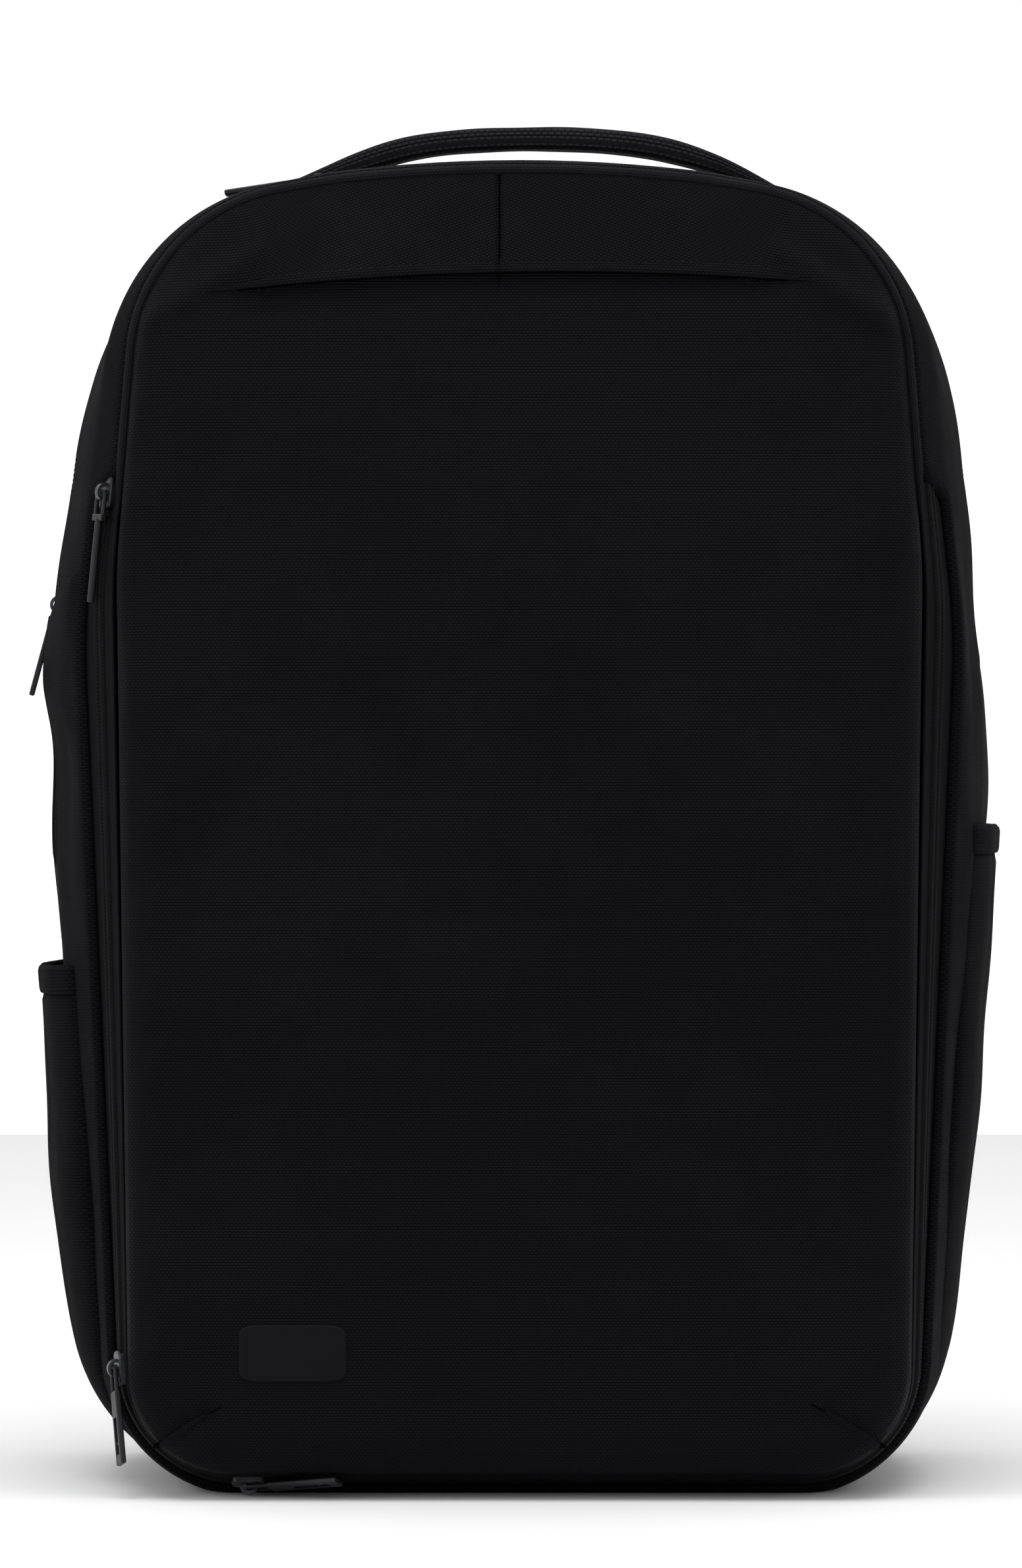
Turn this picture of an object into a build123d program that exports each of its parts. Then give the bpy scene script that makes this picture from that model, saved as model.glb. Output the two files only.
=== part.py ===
from build123d import *
from collections import namedtuple
import math
import os

# Travel backpack. Millimetres, +Z up, +X to the right of someone facing the front, the front faces -Y.
# The origin is on the ground, under the middle of the bag.

# Depth stations of the body, front to back
FRONT_EDGE_Y = -87.0
FRONT_FACE_Y = -99.5
BAND_BACK_Y = -69.0
FLOOR_LINE_Y = -57.0
WIDEST_Y = 1.0
BACK_Y = 69.0
STATIONS = (FRONT_EDGE_Y, BAND_BACK_Y, FLOOR_LINE_Y, -34.0, WIDEST_Y, 36.0, BACK_Y)
SWELL_POWER = 0.8
FRONT_RISE = 8.6
RISE_RUN = 27.0

# Body outlines across the depth: half widths, heights and corner radii
Outline = namedtuple("Outline", "half_low half_mid half_top z_low z_mid z_top z_crown r_low r_top")
FACE = Outline(122.0, 127.0, 112.0, 24.0, 325.0, 412.0, 428.0, 30.0, 46.0)
FRONT = Outline(136.5, 141.0, 131.0, FRONT_RISE, 325.0, 449.0, 464.0, 36.0, 62.0)
WIDEST = Outline(145.0, 171.5, 146.0, 0.0, 273.0, 447.5, 470.5, 58.0, 80.0)
BACK = Outline(142.0, 156.0, 134.0, 0.0, 300.0, 436.0, 458.0, 48.0, 62.0)

# Soft walls
GUSSET_WALL = 3.2
PANEL_WALL = 4.5
SEAM_GAP = 0.3
FAR = 400.0
SLOPE_STEP = 2.0

# Front flap and the fixed panels above it
HINGE_Z = 343.0
YOKE_SEAM_Z = 424.0
YOKE_JOIN_X = -7.0
PANEL_EDGE_INSET = 0.6
PANEL_STEP_INSET = 1.6
PANEL_STEP_OUT = 4.0
PANEL_STEP_IN = 2.0
PIPING_PROUD = 2.2
PIPING_BACK = 3.5
PIPING_SINK = 0.5

# Zippers
CHAIN_Y = -78.0
MAIN_CHAIN_Y = -21.0
TAPE_INSET = 1.0
TAPE_THICK = 1.2
COIL_PROUD = 0.6
COIL_HALF = 2.15
COIL_SPLIT = 0.2
ZIP_TOP_Z = 361.0
MAIN_TAPE_HALF = 9.0
MAIN_ZIP_LEFT_Z = 226.0
MAIN_ZIP_RIGHT_Z = 296.0
BAND_START = 3.8
BAND_END = 1.2
COIL_BURY = 0.15
MAIN_COIL_HALF = 2.6

# Sliders and pulls
SLIDER_LENGTH = 12.0
SLIDER_WIDTH = 8.8
SLIDER_FLOOR = 0.45
CHANNEL_HALF = 3.35
CHANNEL_TOP = 1.95
PLATE_TOP = 3.0
ARCH_OUTER = 3.3
ARCH_INNER = 2.1
ARCH_WIDTH = 2.2
EYE_HEIGHT = 1.1
EYE_RADIUS = 0.8
LOOP_LENGTH = 9.0
LOOP_HALF = 3.9
BAR_LENGTH = 30.0
FRAME_LENGTH = 26.0
FRAME_WIDTH = 7.8
FRAME_THICK = 2.0
PARKED_CUT = 8.0
PARKED_DEPTHS = (5.5, 1.0)
PARKED_TOP_Z = 60.0
ARCH_LIFT = 0.2
SLIDER_ROUND = 2.4
EDGE_BREAK = 0.5
JOINT_LENGTH = 2.4
JOINT_THICK = 2.2
BAR_RADIUS = 1.4
FRAME_BREAK = 0.45
FRAME_OVERLAP = 1.0
WINDOW_X = 3.0
WINDOW_LENGTH = 13.0
WINDOW_WIDTH = 4.2
TIE_X = 5.5
TIE_LENGTH = 1.1
TIE_WIDTH = 4.6
TIE_THICK = 1.2

# Where the sliders are parked
UPPER_SLIDER_Z = 352.0
CORNER_SLIDER_Z = 45.0
BOTTOM_SLIDER_X = -95.0
SIDE_SLIDER_Z = 314.0
TOP_SLIDER_X = -72.0
PULL_YAWS = {"upper": 0.0, "corner": 14.0, "bottom": 20.0, "side": 0.0, "top": 0.0}
PULL_LIFTS = {"upper": 0.0, "corner": 0.0, "bottom": 0.0, "side": 7.0, "top": 0.0}

# Bottle pockets
POCKET_PROUD = {"left": 11.5, "right": 8.5}
POCKET_WALL = 1.6
POCKET_REACH = 60.0
POCKET_FRONT_Y = -48.0
POCKET_BACK_Y = 45.0
POCKET_FLOOR_Z = 7.0
POCKET_TOPS = {"left": 185.0, "right": 235.0}
HEM_HEIGHT = 9.0
HEM_THICK = 1.4
HEM_GAP = 0.1

# Back panel and pads
BACK_PANEL_THICK = 5.8
PAD_THICK = 9.8
PAD_LIFT = 0.2
PAD_CORNER = 16.0
PAD_ROUND = 4.0
BACK_PAD_X = (16.0, 108.0)
BACK_PAD_Z = (186.0, 422.0)
LUMBAR_HALF = 94.0
LUMBAR_Z = (42.0, 176.0)
SLEEVE_HALF = 90.0
SLEEVE_WALL = 4.0
SLEEVE_Y = (85.3, 94.0)
SLEEVE_SKIN = 1.8
SLEEVE_Z = (62.0, 152.0)
SLEEVE_ROUND = 1.5
YOKE_PAD_HALF = 84.0
YOKE_PAD_Y = 75.4
YOKE_PAD_Z = (442.0, 450.0)

# Inside
FRAME_SHEET_Y = 63.5
FRAME_SHEET_THICK = 1.6
FRAME_SHEET_INSET = 14.0
DIVIDER_Y = 44.0
DIVIDER_THICK = 4.0
DIVIDER_INSET = 9.0
DIVIDER_TOP_Z = 400.0
BASE_HALF = 100.0
BASE_Y = (-54.0, 40.0)
BASE_Z = (3.6, 5.8)
FLAP_POCKET_HALF = 100.0
FLAP_POCKET_Y = (-94.6, -86.0)
FLAP_POCKET_Z = (50.0, 190.0)
FLAP_POCKET_WALL = 1.2

# Blank patch
PATCH_X = (-98.0, -60.0)
PATCH_Z = (42.0, 62.0)
PATCH_THICK = 1.15
PATCH_GAP = 0.05
PATCH_ROUND = 3.0

# Top handle
HANDLE_X = 4.0
HANDLE_TOP = 488.0
HANDLE_FOOT_Z = 464.5
HANDLE_THICK = 5.5
HANDLE_FLAT_HALF = 38.0
HANDLE_FOOT_HALF = 94.0
HANDLE_FRONT_Y = -3.0
HANDLE_BACK_Y = 29.0
HANDLE_BEND = 40.0
HANDLE_BEVEL = 2.0
ANCHOR_PROUD = 1.8
ANCHOR_START = 1.0
ANCHOR_END = 26.0

# Harness
STRAP_THICK = 10.0
STRAP_Y = 86.0
STRAP_HALF = 31.0
STRAP_LINE = ((48.0, 438.6), (60.0, 360.0), (79.0, 280.0), (99.0, 200.0))
RAIL_TOP = (56.0, 396.0)
RAIL_END = (84.0, 262.0)
RAIL_HALF = 10.0
RAIL_THICK = 1.5
RAIL_LIFT = 0.2
CLIP_DROP = 30.0
CLIP_HALF_LENGTH = 8.0
CLIP_HALF_WIDTH = 13.5
CLIP_HEIGHTS = (0.3, 4.2)
CLIP_ROUND = 2.0
CLIP_PLAY = 0.4
CHEST_LIFT = 2.4
CHEST_TOP = 12.0
CHEST_END = 88.0
BUCKLE_LIFT = 2.2
BUCKLE_HALF = 14.0
BUCKLE_THICK = 5.6
BUCKLE_ROUND = 1.2
SOCKET_LENGTH = 30.0
SOCKET_HALF = 10.5
SOCKET_HEIGHTS = (1.3, 4.3)
SOCKET_DEPTH = 20.0
RELEASE_HEIGHTS = (2.0, 3.6)
RELEASE_SPAN = (-15.0, -6.0)
PRONG_BASE = 10.0
PRONG_TIP = -30.0
PRONG_ROOT = -8.0
PRONG_X = 8.0
PRONG_HALF = 1.6
PRONG_HEIGHTS = (1.7, 3.9)
GUIDE_HALF = 1.2
GUIDE_TIP = -26.0
WEBBING_THICK = 1.6
WEBBING_HALF = 12.5
ANCHOR_HOLD = (127.0, 79.2, 52.0)
LOCK_HOLD = (100.5, 91.0, 166.0)
LOCK_RISE = 3.6
LOCK_HEIGHT = 28.0
LOCK_WIDTH = 34.0
LOCK_THICK = 6.0
LOCK_BAR = 3.2
LOCK_ROUND = 3.0
LOCK_BREAK = 0.8
LOCK_SLOTS = ((4.0, 9.5), (13.0, 17.5), (20.5, 24.8))
WING_CORNERS = ((104.0, 34.0), (112.0, 62.0), (142.0, 62.0), (156.0, 28.0), (148.0, 18.0))
WING_ROUND = 3.0
WING_GAP = 0.6
WING_THICK = 2.6

SIDES = {"left": -1, "right": 1}


def blend(first, second, share):
    """Outline part of the way from one outline to another."""
    return Outline(*(a + (b - a) * share for a, b in zip(first, second)))


def station(y):
    """Outline at a loft station: the sides swell to the widest section and draw in again."""
    end, end_y = (FRONT, FRONT_EDGE_Y) if y < WIDEST_Y else (BACK, BACK_Y)
    reach = (y - WIDEST_Y) / (end_y - WIDEST_Y)
    shape = blend(end, WIDEST, (1 - reach**2) ** SWELL_POWER)
    rise = FRONT_RISE * max(0.0, 1 - (y - FRONT_EDGE_Y) / RISE_RUN)
    return shape._replace(z_low=rise)


def section(y):
    """Outline at any depth, straight between the loft stations."""
    y = min(max(y, STATIONS[0]), STATIONS[-1])
    for near, far in zip(STATIONS, STATIONS[1:]):
        if y <= far:
            return blend(station(near), station(far), (y - near) / (far - near))
    return station(BACK_Y)


def outline_face(shape, y, inset=0.0):
    """Closed outline in the plane at depth y, drawn in by inset all round."""
    low = (shape.half_low - inset, shape.z_low + inset)
    mid = (shape.half_mid - inset, shape.z_mid)
    top = (shape.half_top - inset, shape.z_top - inset)
    right = [low, mid, top]
    left = [(-x, z) for x, z in reversed(right)]
    edge = Polyline(*left, *right) + ThreePointArc(top, (0, shape.z_crown - inset), left[0])
    profile = make_face(edge)
    profile = fillet(profile.vertices().sort_by(Axis.Y)[:2], shape.r_low - inset)
    profile = fillet(profile.vertices().sort_by(Axis.Y)[-2:], shape.r_top - inset)
    return Plane.XZ.offset(-y) * profile


def body_loft(y_start, y_end, inset):
    """Solid of the body between two depths, drawn in by inset."""
    depths = [y_start, *(y for y in STATIONS if y_start < y < y_end), y_end]
    return loft([outline_face(section(y), y, inset) for y in depths], ruled=True)


def ring(y_start, y_end, outer, inner):
    """Hollow band of the body wall between two depths and two insets."""
    return body_loft(y_start, y_end, outer) - body_loft(y_start, y_end, inner)


def block(x_low, x_high, y_low, y_high, z_low, z_high):
    """Box between two corners."""
    size = Box(x_high - x_low, y_high - y_low, z_high - z_low)
    return Pos((x_low + x_high) / 2, (y_low + y_high) / 2, (z_low + z_high) / 2) * size


def above(z):
    return block(-FAR, FAR, -FAR, FAR, z, z + 2 * FAR)


def below(z):
    return block(-FAR, FAR, -FAR, FAR, z - 2 * FAR, z)


def side_x(y, z, inset=0.0):
    """Half width of the body wall at a depth and a height, on its straight sides."""
    shape = section(y)
    if z < shape.z_mid:
        share = (z - shape.z_low) / (shape.z_mid - shape.z_low)
        return shape.half_low + (shape.half_mid - shape.half_low) * share - inset
    share = (z - shape.z_mid) / (shape.z_top - shape.z_mid)
    return shape.half_mid + (shape.half_top - shape.half_mid) * share - inset


def left_seat(y, z):
    """Plane on the left zip tape: x runs down the chain and z points out of the bag."""
    slope_z = (side_x(y, z + SLOPE_STEP) - side_x(y, z - SLOPE_STEP)) / (2 * SLOPE_STEP)
    slope_y = (side_x(y + SLOPE_STEP, z) - side_x(y - SLOPE_STEP, z)) / (2 * SLOPE_STEP)
    down = Vector(slope_z, 0, -1)
    across = Vector(-slope_y, 1, 0)
    out = down.cross(across)
    out = out if out.X < 0 else -out
    return Plane(origin=(-side_x(y, z, TAPE_INSET), y, z), x_dir=down, z_dir=out)


def bottom_seat(y, x):
    """Plane on the zip tape under the front edge: x runs to the right and z points down and out."""
    slope = (section(y + SLOPE_STEP).z_low - section(y - SLOPE_STEP).z_low) / (2 * SLOPE_STEP)
    return Plane(origin=(x, y, section(y).z_low + TAPE_INSET), x_dir=(1, 0, 0), z_dir=(0, slope, -1))


def crown_circle(y):
    """Height of the centre and radius of the crown arc at a depth."""
    shape = section(y)
    sag = shape.z_crown - shape.z_top
    radius = (shape.half_top**2 + sag**2) / (2 * sag)
    return shape.z_crown - radius, radius


def crown_seat(y, x):
    """Plane on the zip tape over the top: x runs down to the left and z points up."""
    centre_z, radius = crown_circle(y)
    tilt = math.asin(x / radius)
    out = Vector(math.sin(tilt), 0, math.cos(tilt))
    origin = Vector(0, y, centre_z) + out * (radius - TAPE_INSET)
    return Plane(origin=origin, x_dir=(-math.cos(tilt), 0, math.sin(tilt)), z_dir=out)


def pull_seat(name):
    """Plane at a slider's eye, turned about the way out of the bag and lifted off the wall."""
    seat = SEATS[name]
    turn, lift = math.radians(PULL_YAWS[name]), math.radians(PULL_LIFTS[name])
    flat = seat.x_dir * math.cos(turn) + seat.y_dir * math.sin(turn)
    along = flat * math.cos(lift) + seat.z_dir * math.sin(lift)
    out = seat.z_dir * math.cos(lift) - flat * math.sin(lift)
    eye = seat.origin + seat.z_dir * (PLATE_TOP + EYE_HEIGHT)
    return Plane(origin=eye, x_dir=along, z_dir=out)


# Places of the five sliders and of the pulls on them
SEATS = {
    "upper": left_seat(CHAIN_Y, UPPER_SLIDER_Z),
    "corner": left_seat(CHAIN_Y, CORNER_SLIDER_Z),
    "bottom": bottom_seat(CHAIN_Y, BOTTOM_SLIDER_X),
    "side": left_seat(MAIN_CHAIN_Y, SIDE_SLIDER_Z),
    "top": crown_seat(MAIN_CHAIN_Y, TOP_SLIDER_X),
}


def panel_shell():
    """Domed padded front panel, from its edge to its face, open behind."""
    outer = [
        outline_face(FRONT, FRONT_EDGE_Y, PANEL_EDGE_INSET),
        outline_face(FRONT, FRONT_EDGE_Y - PANEL_STEP_OUT, PANEL_STEP_INSET),
        outline_face(FACE, FRONT_FACE_Y),
    ]
    inner = [
        outline_face(FRONT, FRONT_EDGE_Y, PANEL_EDGE_INSET + PANEL_WALL),
        outline_face(FRONT, FRONT_EDGE_Y - PANEL_STEP_IN, PANEL_STEP_INSET + PANEL_WALL),
        outline_face(FACE, FRONT_FACE_Y + PANEL_WALL, PANEL_WALL),
    ]
    return loft(outer, ruled=True) - loft(inner, ruled=True)


def front_panels():
    """The opening flap, the fixed panel above it and the two halves of the yoke."""
    shell = panel_shell()
    middle = block(-FAR, FAR, -FAR, FAR, HINGE_Z + SEAM_GAP, YOKE_SEAM_Z - SEAM_GAP)
    yoke = shell & above(YOKE_SEAM_Z)
    return {
        "front_flap": shell & below(HINGE_Z - SEAM_GAP),
        "front_upper_panel": shell & middle,
        "front_yoke_left": yoke & block(-FAR, YOKE_JOIN_X - SEAM_GAP / 2, -FAR, FAR, 0, 2 * FAR),
        "front_yoke_right": yoke & block(YOKE_JOIN_X + SEAM_GAP / 2, FAR, -FAR, FAR, 0, 2 * FAR),
    }


def front_piping():
    """Corded piping over the top of the front edge."""
    band = ring(FRONT_EDGE_Y + SEAM_GAP, FRONT_EDGE_Y + PIPING_BACK, -PIPING_PROUD, PIPING_SINK)
    return band & above(HINGE_Z + SEAM_GAP)


def front_band():
    """Gusset fabric between the piping and the body above the front zipper."""
    return ring(FRONT_EDGE_Y + BAND_START, BAND_BACK_Y - BAND_END, 0.0, GUSSET_WALL) & above(ZIP_TOP_Z + SEAM_GAP)


def parked_cuts():
    """Room in the flap's half of the zipper at the two sliders parked along it."""
    corner, bottom = SEATS["corner"].origin, SEATS["bottom"].origin
    y_low, y_high = CHAIN_Y - PARKED_DEPTHS[0], CHAIN_Y + PARKED_DEPTHS[1]
    side = block(-FAR, 0, y_low, y_high, corner.Z - PARKED_CUT, corner.Z + PARKED_CUT)
    under = block(bottom.X - PARKED_CUT, bottom.X + PARKED_CUT, y_low, y_high, -FAR, PARKED_TOP_Z)
    return side + under


def front_zipper():
    """Tape and coil of the front zipper, the flap's half apart from the fixed half."""
    fixed_split, flap_split = CHAIN_Y + COIL_SPLIT, CHAIN_Y - COIL_SPLIT
    tape_in = TAPE_INSET + TAPE_THICK
    coil_in = TAPE_INSET - COIL_BURY
    stub = block(-FAR, FAR, -FAR, FAR, HINGE_Z + SEAM_GAP, ZIP_TOP_Z)
    flap_tape = ring(FRONT_EDGE_Y + BAND_START, flap_split, TAPE_INSET, tape_in)
    flap_coil = ring(CHAIN_Y - COIL_HALF, flap_split, -COIL_PROUD, coil_in)
    fixed_tape = ring(fixed_split, BAND_BACK_Y - BAND_END, TAPE_INSET, tape_in)
    fixed_coil = ring(fixed_split, CHAIN_Y + COIL_HALF, -COIL_PROUD, coil_in)
    moving = below(HINGE_Z - SEAM_GAP) - parked_cuts()
    return {
        "flap_zip_tape": flap_tape & moving,
        "flap_zip_coil": flap_coil & moving,
        "front_zip_tape": (fixed_tape & below(ZIP_TOP_Z)) + (flap_tape & stub),
        "front_zip_coil": (fixed_coil & below(ZIP_TOP_Z)) + (flap_coil & stub),
    }


def main_zip_region(half):
    """Region of the main zipper: over the top and part of the way down both sides."""
    y_low, y_high = MAIN_CHAIN_Y - half, MAIN_CHAIN_Y + half
    left = block(-FAR, 0, y_low, y_high, MAIN_ZIP_LEFT_Z, 2 * FAR)
    right = block(0, FAR, y_low, y_high, MAIN_ZIP_RIGHT_Z, 2 * FAR)
    return left + right


def main_gusset():
    """Side, top and bottom wall of the bag, with the slot for the main zipper."""
    return ring(BAND_BACK_Y - 1.0, BACK_Y, 0.0, GUSSET_WALL) - main_zip_region(MAIN_TAPE_HALF)


def main_zipper():
    """Tape and coil of the main zipper."""
    half = MAIN_TAPE_HALF - SEAM_GAP
    tape = ring(MAIN_CHAIN_Y - half, MAIN_CHAIN_Y + half, TAPE_INSET, TAPE_INSET + TAPE_THICK)
    coil = ring(MAIN_CHAIN_Y - MAIN_COIL_HALF, MAIN_CHAIN_Y + MAIN_COIL_HALF, -COIL_PROUD, TAPE_INSET - COIL_BURY)
    ends = block(-FAR, 0, -FAR, FAR, MAIN_ZIP_LEFT_Z + SEAM_GAP, 2 * FAR)
    ends += block(0, FAR, -FAR, FAR, MAIN_ZIP_RIGHT_Z + SEAM_GAP, 2 * FAR)
    return {"main_zip_tape": tape & ends, "main_zip_coil": coil & ends}


def slider():
    """Zip slider, its channel open towards the tape, with the arch that holds the pull."""
    height = PLATE_TOP - SLIDER_FLOOR
    plan = RectangleRounded(SLIDER_LENGTH, SLIDER_WIDTH, SLIDER_ROUND)
    body = Pos(0, 0, SLIDER_FLOOR) * extrude(plan, height)
    body = chamfer(body.faces().sort_by(Axis.Z)[-1].edges(), EDGE_BREAK)
    body -= block(-SLIDER_LENGTH, SLIDER_LENGTH, -CHANNEL_HALF, CHANNEL_HALF, 0, CHANNEL_TOP)
    eye_line = Rot(90, 0, 0)
    arch = eye_line * (Cylinder(ARCH_OUTER, ARCH_WIDTH) - Cylinder(ARCH_INNER, 2 * ARCH_WIDTH))
    arch &= block(-FAR, FAR, -FAR, FAR, -ARCH_LIFT, FAR)
    return body + Pos(0, 0, PLATE_TOP) * arch


def pull_loop():
    """Wire loop through the slider's arch, its eye at the origin and its far end at LOOP_LENGTH."""
    wire = Rot(90, 0, 0) * Cylinder(EYE_RADIUS, 2 * LOOP_HALF)
    for side in SIDES.values():
        arm = Rot(0, 90, 0) * Cylinder(EYE_RADIUS, LOOP_LENGTH)
        wire += Pos(LOOP_LENGTH / 2, side * (LOOP_HALF - EYE_RADIUS), 0) * arm
    return wire


def bar_pull():
    """Slim round pull."""
    joint = Pos(LOOP_LENGTH, 0, 0) * Box(JOINT_LENGTH, 2 * LOOP_HALF, JOINT_THICK)
    bar = Rot(0, 90, 0) * Cylinder(BAR_RADIUS, BAR_LENGTH)
    bar = fillet(bar.edges(), EDGE_BREAK)
    return pull_loop() + fillet(joint.edges(), EDGE_BREAK) + Pos(LOOP_LENGTH + BAR_LENGTH / 2, 0, 0) * bar


def frame_pull():
    """Flat pull with a rectangular window and a thin bar across it."""
    body = Box(FRAME_LENGTH, FRAME_WIDTH, FRAME_THICK)
    body = chamfer(body.edges(), FRAME_BREAK)
    window = Pos(WINDOW_X, 0, 0) * Box(WINDOW_LENGTH, WINDOW_WIDTH, 2 * FRAME_THICK)
    tie = Pos(TIE_X, 0, 0) * Box(TIE_LENGTH, TIE_WIDTH, TIE_THICK)
    return pull_loop() + Pos(LOOP_LENGTH + FRAME_LENGTH / 2 - FRAME_OVERLAP, 0, 0) * (body - window + tie)


def sliders_and_pulls():
    """The five sliders and their pulls, each where it is parked."""
    parts = {}
    for name, seat in SEATS.items():
        pull = bar_pull() if name == "upper" else frame_pull()
        parts[f"slider_{name}"] = seat.location * slider()
        parts[f"pull_{name}"] = pull_seat(name).location * pull
    return parts


def bottle_pocket(name, side):
    """Side pocket, closed at its floor and at its front and back edges, open at the top."""
    proud, top_z = POCKET_PROUD[name], POCKET_TOPS[name]
    skin = ring(POCKET_FRONT_Y, POCKET_BACK_Y, -proud, -SEAM_GAP)
    room = ring(POCKET_FRONT_Y + POCKET_WALL, POCKET_BACK_Y - POCKET_WALL, POCKET_WALL - proud, 0.0)
    reach = sorted((side * POCKET_REACH, side * FAR))
    window = block(*reach, -FAR, FAR, POCKET_FLOOR_Z, top_z)
    return (skin & window) - (room & above(POCKET_FLOOR_Z + POCKET_WALL))


def pocket_hem(name, side):
    """Elastic hem round the outside of a pocket's mouth."""
    proud, top_z = POCKET_PROUD[name], POCKET_TOPS[name]
    band = ring(POCKET_FRONT_Y, POCKET_BACK_Y, -proud - HEM_THICK, -proud - HEM_GAP)
    return band & block(*sorted((side * POCKET_REACH, side * FAR)), -FAR, FAR, top_z - HEM_HEIGHT, top_z)


def bottle_pockets():
    parts = {}
    for name, side in SIDES.items():
        parts[f"bottle_pocket_{name}"] = bottle_pocket(name, side)
        parts[f"pocket_hem_{name}"] = pocket_hem(name, side)
    return parts


def flat_panel(y_start, thick, inset):
    """Flat panel to the body's outline."""
    shape = section(y_start)
    return extrude(outline_face(shape, y_start, inset), -thick)


def inner_parts():
    """Frame sheet, laptop divider, base board and the pocket inside the flap."""
    divider = flat_panel(DIVIDER_Y, DIVIDER_THICK, DIVIDER_INSET) & below(DIVIDER_TOP_Z)
    half, wall = FLAP_POCKET_HALF, FLAP_POCKET_WALL
    (y_low, y_high), (z_low, z_high) = FLAP_POCKET_Y, FLAP_POCKET_Z
    room = block(wall - half, half - wall, y_low + wall, y_high - wall, z_low + wall, FAR)
    return {
        "frame_sheet": flat_panel(FRAME_SHEET_Y, FRAME_SHEET_THICK, FRAME_SHEET_INSET),
        "laptop_divider": divider,
        "base_board": block(-BASE_HALF, BASE_HALF, *BASE_Y, *BASE_Z),
        "flap_pocket": block(-half, half, y_low, y_high, z_low, z_high) - room,
    }


def back_pad(x_low, x_high, z_low, z_high):
    """Moulded foam pad on the back panel, its outer edges rounded."""
    y_low = BACK_Y + SEAM_GAP + BACK_PANEL_THICK + PAD_LIFT
    pad = block(x_low, x_high, y_low, y_low + PAD_THICK, z_low, z_high)
    pad = fillet(pad.edges().filter_by(Axis.Y), PAD_CORNER)
    return fillet(pad.faces().sort_by(Axis.Y)[-1].edges(), PAD_ROUND)


def back_parts():
    """Back panel, its three pads and the sleeve for a suitcase handle."""
    inner_half = SLEEVE_HALF - SLEEVE_WALL
    sleeve = block(-SLEEVE_HALF, SLEEVE_HALF, *SLEEVE_Y, *SLEEVE_Z)
    sleeve -= block(-inner_half, inner_half, 0, SLEEVE_Y[1] - SLEEVE_SKIN, 0, FAR)
    return {
        "back_panel": flat_panel(BACK_Y + SEAM_GAP, BACK_PANEL_THICK, 0.0),
        "back_pad_left": back_pad(-BACK_PAD_X[1], -BACK_PAD_X[0], *BACK_PAD_Z),
        "back_pad_right": back_pad(*BACK_PAD_X, *BACK_PAD_Z),
        "back_pad_lumbar": back_pad(-LUMBAR_HALF, LUMBAR_HALF, *LUMBAR_Z),
        "trolley_sleeve": fillet(sleeve.edges().filter_by(Axis.Y).group_by(Axis.Z)[-1], SLEEVE_ROUND),
        "harness_yoke": block(-YOKE_PAD_HALF, YOKE_PAD_HALF, YOKE_PAD_Y, STRAP_Y + STRAP_THICK, *YOKE_PAD_Z),
    }


def strap_outline(side):
    """Outline of a shoulder strap as it lies against the back."""
    inner = [(side * (x - STRAP_HALF), z) for x, z in STRAP_LINE]
    outer = [(side * (x + STRAP_HALF), z) for x, z in STRAP_LINE]
    edge = Spline(*inner) + Line(inner[-1], outer[-1]) + Spline(*outer) + Line(outer[0], inner[0])
    return Plane.XZ.offset(-STRAP_Y) * make_face(edge)


def rail_plane(side):
    """Plane on a strap's outer face: x runs down the rail and z points away from the back."""
    down = Vector(side * (RAIL_END[0] - RAIL_TOP[0]), 0, RAIL_END[1] - RAIL_TOP[1])
    origin = (side * RAIL_TOP[0], STRAP_Y + STRAP_THICK + RAIL_LIFT, RAIL_TOP[1])
    return Plane(origin=origin, x_dir=down, z_dir=(0, 1, 0))


def rail_length():
    return math.dist(RAIL_TOP, RAIL_END)


def chest_clip():
    """Clip that rides on the strap rail."""
    x_low, x_high = CLIP_DROP - CLIP_HALF_LENGTH, CLIP_DROP + CLIP_HALF_LENGTH
    clip = block(x_low, x_high, -CLIP_HALF_WIDTH, CLIP_HALF_WIDTH, *CLIP_HEIGHTS)
    clip = fillet(clip.edges().filter_by(Axis.Z), CLIP_ROUND)
    half = RAIL_HALF + CLIP_PLAY
    return clip - block(0, FAR, -half, half, 0, RAIL_THICK + CLIP_PLAY)


def buckle_female():
    """Socket half of the chest buckle, open upwards for the prongs."""
    shell = fillet(block(-BUCKLE_HALF, BUCKLE_HALF, 0, BUCKLE_THICK, -SOCKET_LENGTH, 0).edges(), BUCKLE_ROUND)
    socket = block(-SOCKET_HALF, SOCKET_HALF, *SOCKET_HEIGHTS, -SOCKET_DEPTH, FAR)
    release = block(-FAR, SOCKET_HALF - SOCKET_DEPTH, *RELEASE_HEIGHTS, *RELEASE_SPAN)
    return shell - socket - release


def buckle_male():
    """Prong half of the chest buckle."""
    parts = fillet(block(-BUCKLE_HALF, BUCKLE_HALF, 0, BUCKLE_THICK, -PRONG_BASE, 0).edges(), BUCKLE_ROUND)
    for x in (-PRONG_X, PRONG_X):
        parts += block(x - PRONG_HALF, x + PRONG_HALF, *PRONG_HEIGHTS, PRONG_TIP, PRONG_ROOT)
    return parts + block(-GUIDE_HALF, GUIDE_HALF, *PRONG_HEIGHTS, GUIDE_TIP, PRONG_ROOT)


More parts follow.
